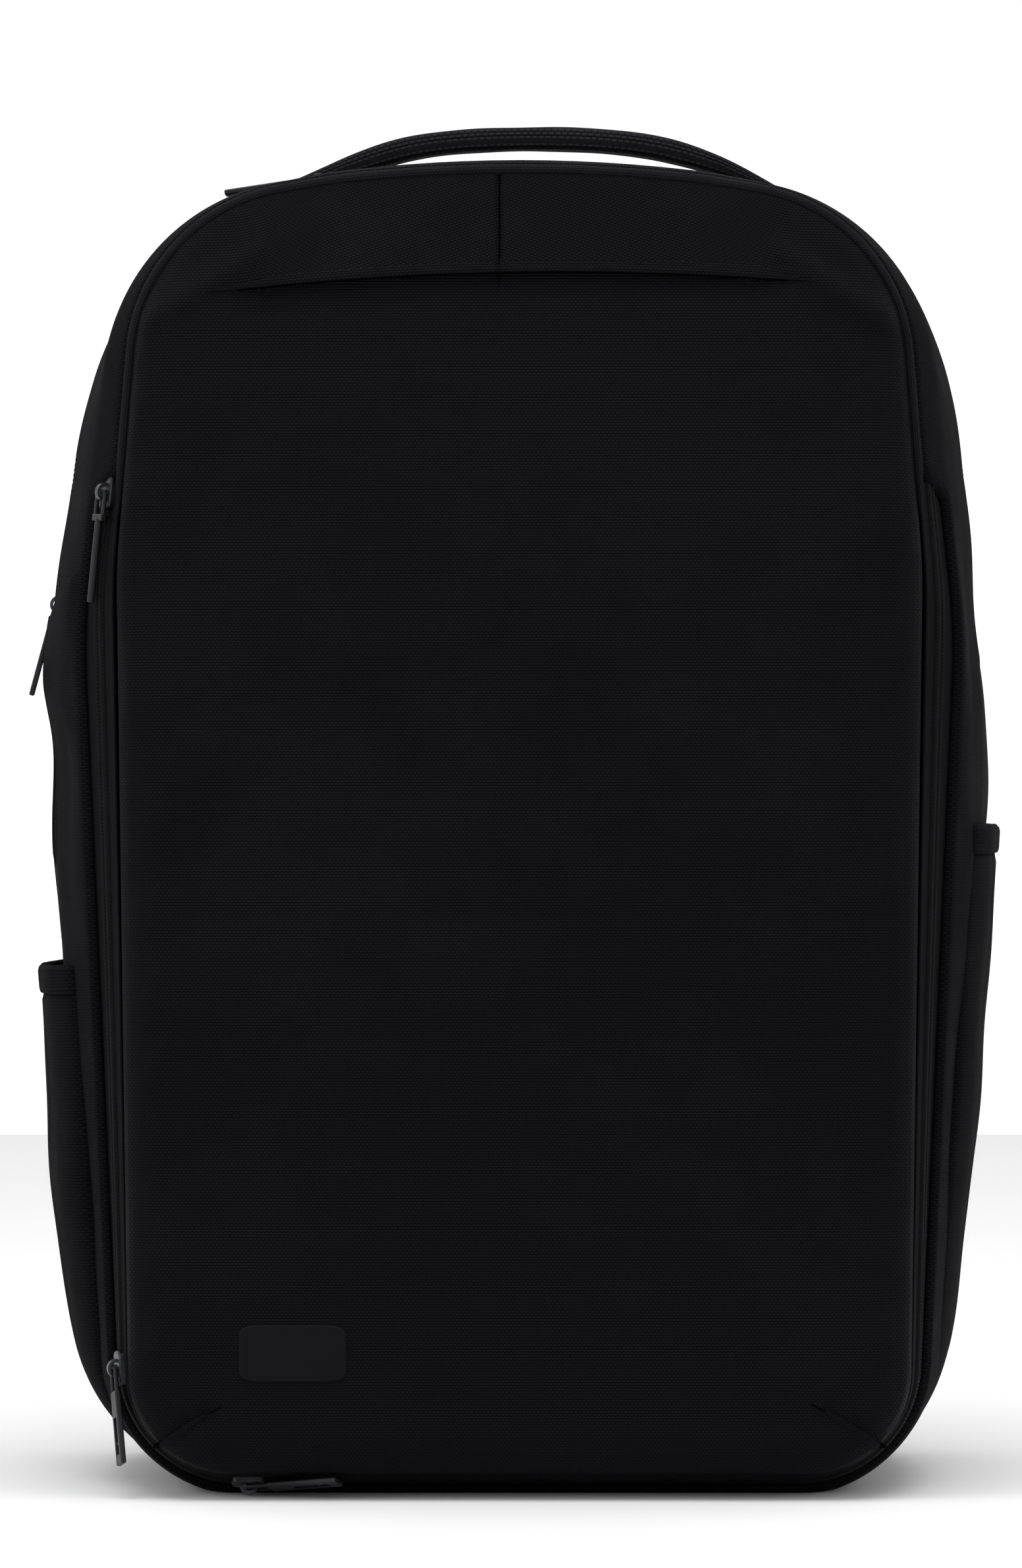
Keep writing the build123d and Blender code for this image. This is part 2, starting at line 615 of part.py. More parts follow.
def chest_strap(side):
    """Clip, webbing and buckle half on one strap."""
    plane = rail_plane(side)
    clip = plane.location * chest_clip()
    hold = plane.from_local_coords((CLIP_DROP, 0, 0))
    face_y = STRAP_Y + STRAP_THICK
    web_y = face_y + CHEST_LIFT
    low_z, high_z = hold.Z - CHEST_END, hold.Z - CHEST_TOP
    webbing = block(hold.X - RAIL_HALF, hold.X + RAIL_HALF, web_y, web_y + WEBBING_THICK, low_z, high_z)
    buckle = buckle_female() if side < 0 else buckle_male()
    return clip, webbing, Pos(hold.X, face_y + BUCKLE_LIFT, low_z - RAIL_LIFT) * buckle


def ladder_lock(side):
    """Ladder lock at the foot of a strap: a frame with cross bars."""
    x, y, z = LOCK_HOLD
    frame = block(-LOCK_WIDTH / 2, LOCK_WIDTH / 2, 0, LOCK_THICK, 0, LOCK_HEIGHT)
    frame = fillet(frame.edges().filter_by(Axis.Y), LOCK_ROUND)
    frame = chamfer(frame.faces().sort_by(Axis.Y)[-1].edges(), LOCK_BREAK)
    slot_half = LOCK_WIDTH / 2 - LOCK_BAR
    for low, high in LOCK_SLOTS:
        frame -= block(-slot_half, slot_half, -FAR, FAR, low, high)
    return Pos(side * x, y - LOCK_THICK / 2, z + LOCK_RISE) * frame


def strap_webbing(side):
    """Adjuster webbing from the wing at the base up to the ladder lock."""
    start = Vector(side * ANCHOR_HOLD[0], *ANCHOR_HOLD[1:])
    end = Vector(side * LOCK_HOLD[0], *LOCK_HOLD[1:])
    run = end - start
    plane = Plane(origin=(start + end) / 2, x_dir=run, z_dir=run.cross(Vector(1, 0, 0)))
    return plane.location * Box(run.length, 2 * WEBBING_HALF, WEBBING_THICK)


def strap_wing(side):
    """Triangular wing, sewn into the back seam, that holds the adjuster webbing."""
    outline = make_face(Polyline(*[(side * x, z) for x, z in WING_CORNERS], close=True))
    outline = fillet(outline.vertices(), WING_ROUND)
    return extrude(Plane.XZ.offset(-(BACK_Y + BACK_PANEL_THICK + WING_GAP)) * outline, -WING_THICK)


def harness():
    """Both shoulder straps with everything on them."""
    parts = {}
    for name, side in SIDES.items():
        rail = block(0, rail_length(), -RAIL_HALF, RAIL_HALF, 0, RAIL_THICK)
        clip, webbing, buckle = chest_strap(side)
        parts[f"shoulder_strap_{name}"] = extrude(strap_outline(side), -STRAP_THICK)
        parts[f"strap_rail_{name}"] = rail_plane(side).location * rail
        parts[f"chest_clip_{name}"] = clip
        parts[f"chest_webbing_{name}"] = webbing
        parts[f"chest_buckle_{name}"] = buckle
        parts[f"ladder_lock_{name}"] = ladder_lock(side)
        parts[f"strap_webbing_{name}"] = strap_webbing(side)
        parts[f"strap_wing_{name}"] = strap_wing(side)
    return parts


def top_handle():
    """Arched band of the handle."""
    top, low, foot = HANDLE_TOP, HANDLE_TOP - HANDLE_THICK, HANDLE_FOOT_Z
    flat, end = HANDLE_FLAT_HALF, HANDLE_FOOT_HALF
    outer = [(-end, foot + HANDLE_THICK), (-flat, top), (flat, top), (end, foot + HANDLE_THICK)]
    inner_flat, inner_end = flat - HANDLE_BEVEL, end - HANDLE_BEVEL
    inner = [(inner_end, foot), (inner_flat, low), (-inner_flat, low), (-inner_end, foot)]
    profile = make_face(Polyline(*outer, *inner, close=True))
    bends = profile.vertices().filter_by(lambda v: abs(v.X) < inner_end)
    profile = fillet(bends, HANDLE_BEND)
    band = extrude(Plane.XZ.offset(-HANDLE_FRONT_Y) * profile, HANDLE_FRONT_Y - HANDLE_BACK_Y)
    return Pos(HANDLE_X, 0, 0) * band


def handle_parts():
    """Top handle and the two patches that hold its ends to the top of the bag."""
    band = ring(HANDLE_FRONT_Y - HANDLE_BEVEL, HANDLE_BACK_Y + HANDLE_BEVEL, -ANCHOR_PROUD, -SEAM_GAP)
    parts = {"top_handle": top_handle()}
    for name, side in SIDES.items():
        low, high = sorted(HANDLE_X + side * (HANDLE_FOOT_HALF + reach) for reach in (ANCHOR_START, ANCHOR_END))
        parts[f"handle_anchor_{name}"] = band & block(low, high, -FAR, FAR, HINGE_Z, 2 * FAR)
    return parts


def badge_patch():
    """Blank rubber patch low on the left of the flap."""
    y_high = FRONT_FACE_Y - PATCH_GAP
    patch = block(*PATCH_X, y_high - PATCH_THICK, y_high, *PATCH_Z)
    return fillet(patch.edges().filter_by(Axis.Y), PATCH_ROUND)


def all_parts():
    parts = {"main_gusset": main_gusset(), "front_piping": front_piping(), "front_band": front_band()}
    for group in (front_panels, front_zipper, main_zipper, sliders_and_pulls, bottle_pockets):
        parts.update(group())
    for group in (inner_parts, back_parts, harness, handle_parts):
        parts.update(group())
    parts["badge_patch"] = badge_patch()
    return parts


os.makedirs("parts", exist_ok=True)
for node, solid in all_parts().items():
    export_step(solid, f"parts/{node}.step")
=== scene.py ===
import math

import bpy
import numpy as np
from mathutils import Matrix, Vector, kdtree


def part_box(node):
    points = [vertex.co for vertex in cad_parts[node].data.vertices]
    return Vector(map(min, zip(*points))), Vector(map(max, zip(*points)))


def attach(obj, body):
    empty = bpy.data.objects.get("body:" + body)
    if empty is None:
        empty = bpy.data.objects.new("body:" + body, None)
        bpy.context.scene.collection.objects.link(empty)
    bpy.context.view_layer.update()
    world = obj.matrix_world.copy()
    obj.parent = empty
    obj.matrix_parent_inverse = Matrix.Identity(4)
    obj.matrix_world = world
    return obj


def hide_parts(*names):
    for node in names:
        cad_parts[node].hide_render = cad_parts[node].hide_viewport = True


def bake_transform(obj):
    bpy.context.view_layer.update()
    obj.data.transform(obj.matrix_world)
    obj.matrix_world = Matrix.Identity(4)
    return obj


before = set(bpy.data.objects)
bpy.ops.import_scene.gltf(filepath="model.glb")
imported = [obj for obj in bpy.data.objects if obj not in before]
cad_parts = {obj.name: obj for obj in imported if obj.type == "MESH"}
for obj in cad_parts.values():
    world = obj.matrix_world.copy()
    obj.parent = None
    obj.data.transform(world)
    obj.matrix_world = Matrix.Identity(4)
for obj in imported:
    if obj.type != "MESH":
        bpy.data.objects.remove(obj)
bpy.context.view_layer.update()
MM = 0.001

# ---- The bag's outline, in metres: half widths, heights and corner radii at three depths ----
FRONT_EDGE_Y = -87 * MM
BAND_BACK_Y = -69 * MM
WIDEST_Y = 1 * MM
BACK_Y = 69 * MM
STATIONS = np.array([-87, -69, -57, -34, 1, 36, 69]) * MM
SWELL_POWER = 0.8
FRONT_RISE = 8.6 * MM
RISE_RUN = 27 * MM
# half_low, half_mid, half_top, z_low, z_mid, z_top, z_crown, r_low, r_top
FRONT = np.array([136.5, 141.0, 131.0, 8.6, 325.0, 449.0, 464.0, 36.0, 62.0]) * MM
WIDEST = np.array([145.0, 171.5, 146.0, 0.0, 273.0, 447.5, 470.5, 58.0, 80.0]) * MM
BACK = np.array([142.0, 156.0, 134.0, 0.0, 300.0, 436.0, 458.0, 48.0, 62.0]) * MM
MID_RADIUS = 220 * MM
AROUND = 1440
SHOULDER_HOLLOW_Z = 419 * MM

HINGE_Z = 343 * MM
SEAM_Z = 426 * MM
ZIP_TOP_Z = 361 * MM
CHAIN_Y = -78 * MM
MAIN_CHAIN_Y = -21 * MM
MAIN_LEFT_Z = 226 * MM
MAIN_RIGHT_Z = 296 * MM
ROUND_LENGTH = 1.52


def smooth_step(x, low, high):
    t = np.clip((x - low) / (high - low), 0, 1)
    return t * t * (3 - 2 * t)


def between(x, low, low_end, high, high_end):
    """1 between two ends, each with its own fade."""
    return smooth_step(x, low, low_end) * (1 - smooth_step(x, high, high_end))


def bell(x, middle, width):
    return np.exp(-(((x - middle) / width) ** 2))


def unit(vectors):
    return vectors / np.maximum(np.linalg.norm(vectors, axis=-1, keepdims=True), 1e-12)


def distance_along(path):
    return np.r_[0, np.cumsum(np.linalg.norm(np.diff(path, axis=0), axis=1))]


def soft_noise(a, b, size, seed):
    """Smooth wandering field of about unit height, with features of the given size."""
    rng = np.random.default_rng(seed)
    total = np.zeros(np.broadcast(a, b).shape)
    for _ in range(7):
        angle, phase = rng.uniform(0, 2 * math.pi, 2)
        wave = size * rng.uniform(0.7, 1.8)
        total += np.sin(2 * math.pi * (a * math.cos(angle) + b * math.sin(angle)) / wave + phase)
    return total / 3.2


def station(y):
    """Outline numbers at a depth, as the CAD's loft stations have them."""
    end, end_y = (FRONT, FRONT_EDGE_Y) if y < WIDEST_Y else (BACK, BACK_Y)
    reach = (y - WIDEST_Y) / (end_y - WIDEST_Y)
    shape = end + (WIDEST - end) * (1 - reach**2) ** SWELL_POWER
    shape[3] = FRONT_RISE * max(0.0, 1 - (y - FRONT_EDGE_Y) / RISE_RUN)
    return shape


def corner(before, at, after, radius):
    """Points of a round corner between two straight runs."""
    u, v = before - at, after - at
    u, v = u / np.linalg.norm(u), v / np.linalg.norm(v)
    half = math.acos(np.clip(u @ v, -1, 1)) / 2
    reach = radius / math.tan(half)
    middle = u + v
    middle = at + middle / np.linalg.norm(middle) * radius / math.sin(half)
    start, end = at + u * reach - middle, at + v * reach - middle
    turn = math.pi - 2 * half
    sign = math.copysign(1, start[0] * end[1] - start[1] * end[0])
    angles = np.linspace(0, turn, 24) * sign
    return [middle + np.array([start[0] * math.cos(a) - start[1] * math.sin(a),
                               start[0] * math.sin(a) + start[1] * math.cos(a)]) for a in angles]


def outline_curve(shape):
    """Closed outline, evenly spaced, from the middle of the bottom round by the right side."""
    half_low, half_mid, half_top, z_low, z_mid, z_top, z_crown, r_low, r_top = shape
    sag = z_crown - z_top
    radius = (half_top**2 + sag**2) / (2 * sag)
    crown = [np.array([x, z_crown - radius + math.sqrt(radius**2 - x**2)])
             for x in np.linspace(0.5 * half_top, 0, 8)]
    low, mid, top = np.array([(half_low, z_low), (half_mid, z_mid), (half_top, z_top)])
    right = [np.array([0, z_low])]
    right += corner(right[0], low, mid, r_low) + corner(low, mid, top, MID_RADIUS)
    right += corner(mid, top, crown[0], r_top) + crown
    right = np.array(right)
    loop = np.vstack([right, (right[::-1] * (-1, 1))[1:]])
    along = distance_along(loop)
    spots = np.linspace(0, along[-1], AROUND + 1)
    return np.stack([np.interp(spots, along, loop[:, 0]), np.interp(spots, along, loop[:, 1])], 1)


class Wall:
    """The bag's outer surface over depth and distance round, sampled in a table."""

    def __init__(self):
        self.depths = np.arange(-87, 69.01, 1.5) * MM
        shapes = np.array([station(y) for y in STATIONS])
        rows = np.array([np.interp(self.depths, STATIONS, shapes[:, k]) for k in range(9)]).T
        for _ in range(6):
            rows[1:-1] = (rows[:-2] + 2 * rows[1:-1] + rows[2:]) / 4
        curves = np.array([outline_curve(row) for row in rows])
        depths = np.repeat(self.depths[:, None], AROUND + 1, 1)
        self.points = np.stack([curves[..., 0], depths, curves[..., 1]], 2)
        ring = self.points[:, :-1]
        normal = np.cross(np.gradient(ring, axis=0), np.roll(ring, -1, 1) - np.roll(ring, 1, 1))
        self.normals = normal / np.linalg.norm(normal, axis=2, keepdims=True)
        ring -= self.normals * self.hollows(ring)[..., None]
        self.points[:, -1] = self.points[:, 0]
        self.normals = np.concatenate([self.normals, self.normals[:, :1]], 1)

    @staticmethod
    def hollows(place):
        """How far the soft sides and shoulders sink in, between their stiff edges."""
        x, y, z = place[..., 0], place[..., 1], place[..., 2]
        left = 5.0 * bell(z, SHOULDER_HOLLOW_Z, 30 * MM) + 3.0 * bell(z, 260 * MM, 22 * MM)
        right = 2.6 * bell(z, SHOULDER_HOLLOW_Z, 32 * MM) + 4.2 * bell(z, 303 * MM, 42 * MM)
        soft = between(y, -72 * MM, -48 * MM, 40 * MM, 66 * MM)
        return np.where(x < 0, left, right) * MM * soft

    def row(self, y):
        """Table row, with its fraction, of a depth."""
        return (y - self.depths[0]) / (self.depths[1] - self.depths[0])

    def sample(self, table, s, y):
        row = np.clip(self.row(y), 0, len(self.depths) - 1.001)
        column = (np.asarray(s) % 1.0) * AROUND
        r, c = row.astype(int), np.minimum(column.astype(int), AROUND - 1)
        fr, fc = (row - r)[..., None], (column - c)[..., None]
        near = table[r, c] * (1 - fc) + table[r, c + 1] * fc
        far = table[r + 1, c] * (1 - fc) + table[r + 1, c + 1] * fc
        return near * (1 - fr) + far * fr

    def at(self, s, y, lift=0.0):
        """Points on the wall, lifted out of it."""
        s, y, lift = np.broadcast_arrays(*(np.asarray(value, float) for value in (s, y, lift)))
        spot = self.sample(self.points, s, y)
        spot[..., 1] = y
        return spot + self.normal(s, y) * lift[..., None]

    def normal(self, s, y):
        return self.sample(self.normals, *np.broadcast_arrays(np.asarray(s, float), np.asarray(y, float)))

    def share(self, side, z, y):
        """Distance round, as a share, of a height on the right (1) or left (-1) side at a depth."""
        row = int(np.clip(round(self.row(y)), 0, len(self.depths) - 1))
        half = AROUND // 2 + 1
        spot = np.interp(z, self.points[row, :half, 2], np.arange(half) / AROUND)
        return spot if side > 0 else 1 - spot


WALL = Wall()


# ---- Materials ----
class Nodes:
    """Small helper to wire a material's nodes."""

    def __init__(self, name):
        self.material = bpy.data.materials.new(name)
        self.material.use_nodes = True
        self.tree = self.material.node_tree
        self.shader = self.tree.nodes["Principled BSDF"]

    def add(self, kind, **settings):
        node = self.tree.nodes.new(kind)
        for key, value in settings.items():
            setattr(node, key, value)
        return node

    def link(self, source, target):
        if isinstance(source, (int, float)):
            target.default_value = source
        else:
            self.tree.links.new(source, target)

    def calculate(self, operation, a, b=0.0, c=0.0):
        node = self.add("ShaderNodeMath", operation=operation)
        for value, socket in zip((a, b, c), node.inputs):
            self.link(value, socket)
        return node.outputs[0]

    def noise(self, vector, scale, detail=2.0):
        node = self.add("ShaderNodeTexNoise")
        self.link(vector, node.inputs["Vector"])
        node.inputs["Scale"].default_value = scale
        node.inputs["Detail"].default_value = detail
        return node.outputs["Fac"]

    def ramp(self, value, low, high, dark, light):
        node = self.add("ShaderNodeMapRange")
        self.link(value, node.inputs["Value"])
        for socket, number in zip(("From Min", "From Max", "To Min", "To Max"), (low, high, dark, light)):
            node.inputs[socket].default_value = number
        return node.outputs["Result"]

    def mix(self, share, dark, light):
        node = self.add("ShaderNodeMix", data_type="RGBA")
        self.link(share, node.inputs["Factor"])
        for socket, colour in zip(("A", "B"), (dark, light)):
            target = [i for i in node.inputs if i.name == socket and i.type == "RGBA"][0]
            if isinstance(colour, tuple):
                target.default_value = (*colour, 1)
            else:
                self.tree.links.new(colour, target)
        return [o for o in node.outputs if o.type == "RGBA"][0]

    def bump(self, height, distance, strength=1.0, under=None):
        node = self.add("ShaderNodeBump")
        node.inputs["Strength"].default_value = strength
        node.inputs["Distance"].default_value = distance
        self.link(height, node.inputs["Height"])
        if under is not None:
            self.tree.links.new(under, node.inputs["Normal"])
        return node.outputs["Normal"]

    def set(self, **values):
        for key, value in values.items():
            self.shader.inputs[key.replace("_", " ")].default_value = value


def weave_height(n, u, v, pitch_u, pitch_v):
    """Oval beads of yarn in staggered rows."""
    row = n.calculate("DIVIDE", v, pitch_v)
    stagger = n.calculate("MULTIPLY", n.calculate("FLOORED_MODULO", n.calculate("FLOOR", row), 2.0), 0.5)
    column = n.calculate("ADD", n.calculate("DIVIDE", u, pitch_u), stagger)
    across = n.calculate("SINE", n.calculate("MULTIPLY", n.calculate("FRACT", row), math.pi))
    along = n.calculate("SINE", n.calculate("MULTIPLY", n.calculate("FRACT", column), math.pi))
    return n.calculate("MULTIPLY", n.calculate("POWER", along, 0.55), n.calculate("POWER", across, 0.8))


CHEVRON_WIDTH = 2.4 * MM
FIBRE_SCALE, BLOTCH_SCALE, WEAR_SCALE, SMEAR_SCALE = 2600.0, 9.0, 38.0, 160.0


def chevron_height(n, u, v, pitch):
    """Herringbone twill: slanted ribs that turn back and forth across the tape."""
    fold = n.calculate("PINGPONG", v, CHEVRON_WIDTH)
    slanted = n.calculate("ADD", u, n.calculate("MULTIPLY", fold, 0.9))
    return n.calculate("ABSOLUTE", n.calculate("SINE", n.calculate("MULTIPLY", slanted, math.pi / pitch)))


def cloth(name, dark, light, pitch, relief, roughness=0.7, sheen=0.003, pattern="weave", flat=False,
          gloss=0.3):
    """Woven cloth: its yarns follow the piece's UV map, or its place when flat. Sizes in mm."""
    relief, pitch = relief * MM, [size * MM for size in pitch]
    n = Nodes(name)
    place = n.add("ShaderNodeTexCoord")
    split = n.add("ShaderNodeSeparateXYZ")
    n.link(place.outputs["Object" if flat else "UV"], split.inputs[0])
    u, v = split.outputs["X"], split.outputs["Z" if flat else "Y"]
    if pattern == "chevron":
        height = chevron_height(n, u, v, pitch[0])
    else:
        height = weave_height(n, u, v, *pitch)
    body = place.outputs["Object"]
    fibres = n.noise(body, FIBRE_SCALE, 3.0)
    blotch = n.noise(body, BLOTCH_SCALE, 4.0)
    wear = n.noise(body, WEAR_SCALE, 5.0)
    shade = n.calculate("MULTIPLY_ADD", fibres, 0.35, n.calculate("MULTIPLY", height, 0.75))
    colour = n.mix(n.calculate("MULTIPLY", shade, n.ramp(blotch, 0.3, 0.7, 0.72, 1.12)), dark, light)
    n.link(colour, n.shader.inputs["Base Color"])
    n.link(n.ramp(wear, 0.25, 0.75, roughness - 0.07, roughness + 0.08), n.shader.inputs["Roughness"])
    coarse = n.bump(n.calculate("MULTIPLY_ADD", fibres, 0.2, height), relief)
    n.link(n.bump(blotch, 1.2 * MM, 0.35, coarse), n.shader.inputs["Normal"])
    n.set(IOR=1.2, Specular_IOR_Level=gloss, Sheen_Weight=sheen, Sheen_Roughness=0.5,
          Sheen_Tint=(0.7, 0.75, 1.0, 1.0))
    return n.material


def moulded(name, dark, light, roughness, grain, metallic=0.0, gloss=0.5):
    """Moulded plastic, rubber, lacquer or metal with fine grain and worn, brighter edges."""
    n = Nodes(name)
    place = n.add("ShaderNodeTexCoord").outputs["Object"]
    speck = n.noise(place, grain, 3.0)
    smear = n.noise(place, SMEAR_SCALE, 5.0)
    edge = n.add("ShaderNodeNewGeometry").outputs["Pointiness"]
    worn = n.calculate("MULTIPLY", n.ramp(edge, 0.5, 0.58, 0.0, 1.0), n.ramp(smear, 0.35, 0.65, 0.2, 1.0))
    share = n.calculate("MAXIMUM", worn, n.calculate("MULTIPLY", smear, 0.4))
    n.link(n.mix(share, dark, light), n.shader.inputs["Base Color"])
    n.link(n.ramp(smear, 0.2, 0.8, roughness - 0.08, roughness + 0.1), n.shader.inputs["Roughness"])
    n.link(n.bump(speck, 0.06 * MM, 0.6), n.shader.inputs["Normal"])
    n.set(Metallic=metallic, Specular_IOR_Level=gloss)
    return n.material


PANEL = cloth("panel_cloth", (0.0002, 0.0002, 0.0004), (0.0058, 0.0057, 0.0074), (1.45, 0.97), 0.42,
              gloss=0.24)
SHELL_LOOK = ((0.0003, 0.0003, 0.0005), (0.0066, 0.0066, 0.0081), (1.7, 1.08), 0.26, 0.82, 0.002)
SHELL = cloth("shell_cloth", *SHELL_LOOK, gloss=0.12)
SHELL_FLAT = cloth("shell_cloth_flat", *SHELL_LOOK, gloss=0.12, flat=True)
LINING_LOOK = ((0.016, 0.016, 0.018), (0.045, 0.046, 0.05), (0.5, 0.5), 0.05)
LINING = cloth("lining_cloth", *LINING_LOOK)
LINING_FLAT = cloth("lining_flat", *LINING_LOOK, flat=True)
SPACER = cloth("spacer_mesh", (0.0005, 0.0005, 0.0006), (0.013, 0.013, 0.015), (3.2, 2.6), 0.9, 0.8,
               flat=True)
WEBBING_LOOK = ((0.0005, 0.0005, 0.0007), (0.022, 0.022, 0.026), (2.4, 1.5), 0.6)
WEBBING = cloth("webbing_cloth", *WEBBING_LOOK)
WEBBING_FLAT = cloth("webbing_flat", *WEBBING_LOOK, flat=True)
PIPING = cloth("piping_cloth", (0.0004, 0.0004, 0.0006), (0.012, 0.012, 0.0145), (1.2, 0.9), 0.2,
               gloss=0.25)
TAPE = cloth("zip_tape_cloth", (0.0006, 0.0006, 0.0009), (0.0085, 0.0086, 0.0105), (0.75, 0.75), 0.16,
             pattern="chevron", gloss=0.2)
COIL = moulded("zip_coil_nylon", (0.0006, 0.0006, 0.0009), (0.0035, 0.0035, 0.0045), 0.6, 900.0, gloss=0.07)
THREAD = moulded("sewing_thread", (0.0016, 0.0016, 0.0023), (0.0095, 0.0096, 0.012), 0.65, 2500.0, gloss=0.12)
# Painted shade: near-black material for the dark lines laid along seam valleys in place of their shadow.
SEAM_SHADE = moulded("seam_shadow", (0.0002, 0.0002, 0.0003), (0.0006, 0.0006, 0.0008), 0.9, 2500.0, gloss=0.02)
SLIDER = moulded("slider_gunmetal", (0.01, 0.0103, 0.013), (0.075, 0.077, 0.09), 0.36, 1200.0, metallic=0.85)
PULL = moulded("pull_lacquer", (0.002, 0.0021, 0.003), (0.014, 0.0144, 0.0185), 0.45, 1500.0, gloss=0.28)
RUBBER = moulded("patch_rubber", (0.0025, 0.0025, 0.0034), (0.0054, 0.0055, 0.007), 0.58, 1800.0, gloss=0.08)
PLASTIC = moulded("buckle_acetal", (0.0025, 0.0025, 0.0032), (0.01, 0.01, 0.012), 0.45, 1600.0, gloss=0.25)
SHEET = moulded("stiffener_sheet", (0.02, 0.02, 0.021), (0.045, 0.045, 0.047), 0.6, 500.0, gloss=0.2)


# ---- Mesh helpers ----
def link_object(name, data):
    thing = bpy.data.objects.new(name, data)
    bpy.context.scene.collection.objects.link(thing)
    return thing


def dress(piece, material, smooth=True):
    """Gives a piece one material, and smooth or flat faces."""
    piece.data.materials.clear()
    piece.data.materials.append(material)
    piece.data.polygons.foreach_set("use_smooth", [smooth] * len(piece.data.polygons))


def new_object(name, points, faces, material, uv=None):
    mesh = bpy.data.meshes.new(name)
    mesh.from_pydata([tuple(p) for p in points], [], faces)
    mesh.validate()
    if uv is not None:
        layer = mesh.uv_layers.new(name="cloth")
        index = np.zeros(len(mesh.loops), int)
        mesh.loops.foreach_get("vertex_index", index)
        layer.data.foreach_set("uv", np.asarray(uv, np.float32)[index].ravel())
    piece = link_object(name, mesh)
    dress(piece, material)
    return piece


def grid_faces(rows, columns, closed=False, start=0):
    """Quads of a grid of points, its columns joined round when closed."""
    r, c = np.meshgrid(np.arange(rows - 1), np.arange(columns if closed else columns - 1), indexing="ij")
    row, beside = r * columns, (c + 1) % columns
    quads = np.stack([row + c, row + beside, row + columns + beside, row + columns + c], -1)
    return (quads.reshape(-1, 4) + start).tolist()


def grid_piece(name, points, material, uv=None, closed=False):
    """Sheet from a rows x columns grid of points."""
    rows, columns = points.shape[:2]
    flat_uv = None if uv is None else uv.reshape(-1, 2)
    return new_object(name, points.reshape(-1, 3), grid_faces(rows, columns, closed), material, flat_uv)


def modify(piece, name, kind, **settings):
    modifier = piece.modifiers.new(name, kind)
    for key, value in settings.items():
        setattr(modifier, key, value)
    return modifier


def thicken(piece, thickness, offset=-1.0):
    modify(piece, "cloth_thickness", "SOLIDIFY", thickness=thickness, offset=offset, use_even_offset=False)
    return piece


def built_up(piece, thickness, turn=True):
    """Turns a sheet on the wall to face outward and builds its thickness up from the wall."""
    if turn:
        piece.data.flip_normals()
    return thicken(piece, thickness, 1.0)


def place(piece, body, slot, *nodes):
    """Attaches a piece to the body it moves with and hides the CAD nodes it stands for; its slot is not used.
    """
    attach(piece, body)
    if nodes:
        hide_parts(*nodes)
    return piece


def cut_cloth(piece, width, held, *rests_on, with_pieces=()):
    """Evaluates a sheet's mesh with its modifiers and does nothing more with it."""
    bpy.context.view_layer.update()
    mesh = piece.evaluated_get(bpy.context.evaluated_depsgraph_get()).to_mesh()


def bend(piece, a):
    """Bakes a piece's place into its mesh and attaches it to body a."""
    piece.parent = None
    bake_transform(piece)
    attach(piece, a)


def resample(path, step):
    """Evenly spaced points along a path."""
    path = np.asarray(path, float)
    along = distance_along(path)
    count = max(2, int(round(along[-1] / step)) + 1)
    spots = np.linspace(0, along[-1], count)
    return np.stack([np.interp(spots, along, path[:, k]) for k in range(path.shape[1])], 1)


def rounded_path(points, step=2 * MM, passes=40):
    """Given points joined by a smooth curve."""
    path = resample(points, step)
    for _ in range(passes):
        path[1:-1] = (path[:-2] + 2 * path[1:-1] + path[2:]) / 4
    return resample(path, step)


def sweep(name, path, outward, profile, material, scale=None):
    """Carries a closed profile (across, outward) along a path; outward, one or many, is its up."""
    outward = np.broadcast_to(outward, path.shape)
    turn = np.roll(profile, -1, 0)
    if np.sum(profile[:, 0] * turn[:, 1] - profile[:, 1] * turn[:, 0]) > 0:
        profile = profile[::-1]  # clockwise, so that the faces look outward
    tangent = unit(np.gradient(path, axis=0))
    out = unit(outward - tangent * np.sum(outward * tangent, axis=1, keepdims=True))
    across = np.cross(tangent, out)
    scale = np.ones((len(path), 2)) if scale is None else scale
    rings = (path[:, None] + across[:, None] * (profile[None, :, :1] * scale[:, None, :1])
             + out[:, None] * (profile[None, :, 1:] * scale[:, None, 1:]))
    uv = np.stack(np.meshgrid(distance_along(path), distance_along(profile), indexing="ij"), -1)
    rows, columns = rings.shape[:2]
    faces = grid_faces(rows, columns, closed=True)
    faces += [list(range(columns))[::-1], [(rows - 1) * columns + k for k in range(columns)]]
    return new_object(name, rings.reshape(-1, 3), faces, material, uv.reshape(-1, 2))


def oval(half_width, half_height, power=2.0, sides=20):
    """Closed oval profile, squarer as the power grows."""
    a = np.linspace(0, 2 * math.pi, sides, endpoint=False)
    c, s = np.cos(a), np.sin(a)
    squash = (np.abs(c) ** power + np.abs(s) ** power) ** (-1 / power)
    return np.stack([c * squash * half_width, s * squash * half_height], 1)


STITCH_PITCH = 3.1 * MM
STITCH_SIZE = (2.3 * MM, 0.5 * MM, 0.5 * MM)
STITCH = np.array([(0.0, 0.0, 0.0), (-0.5, 0.0, 0.0), (-0.34, 0.5, 0.35), (0.34, 0.5, 0.35), (0.5, 0.0, 0.0),
                   (0.34, -0.5, 0.35), (-0.34, -0.5, 0.35), (0.0, 0.0, 0.75)]) * STITCH_SIZE
STITCH_SIDES = [(1 + k, 1 + (k + 1) % 6) for k in range(6)]
STITCH_FACES = [[after, before, 7] for before, after in STITCH_SIDES]
STITCH_FACES += [[0, before, after] for before, after in STITCH_SIDES]


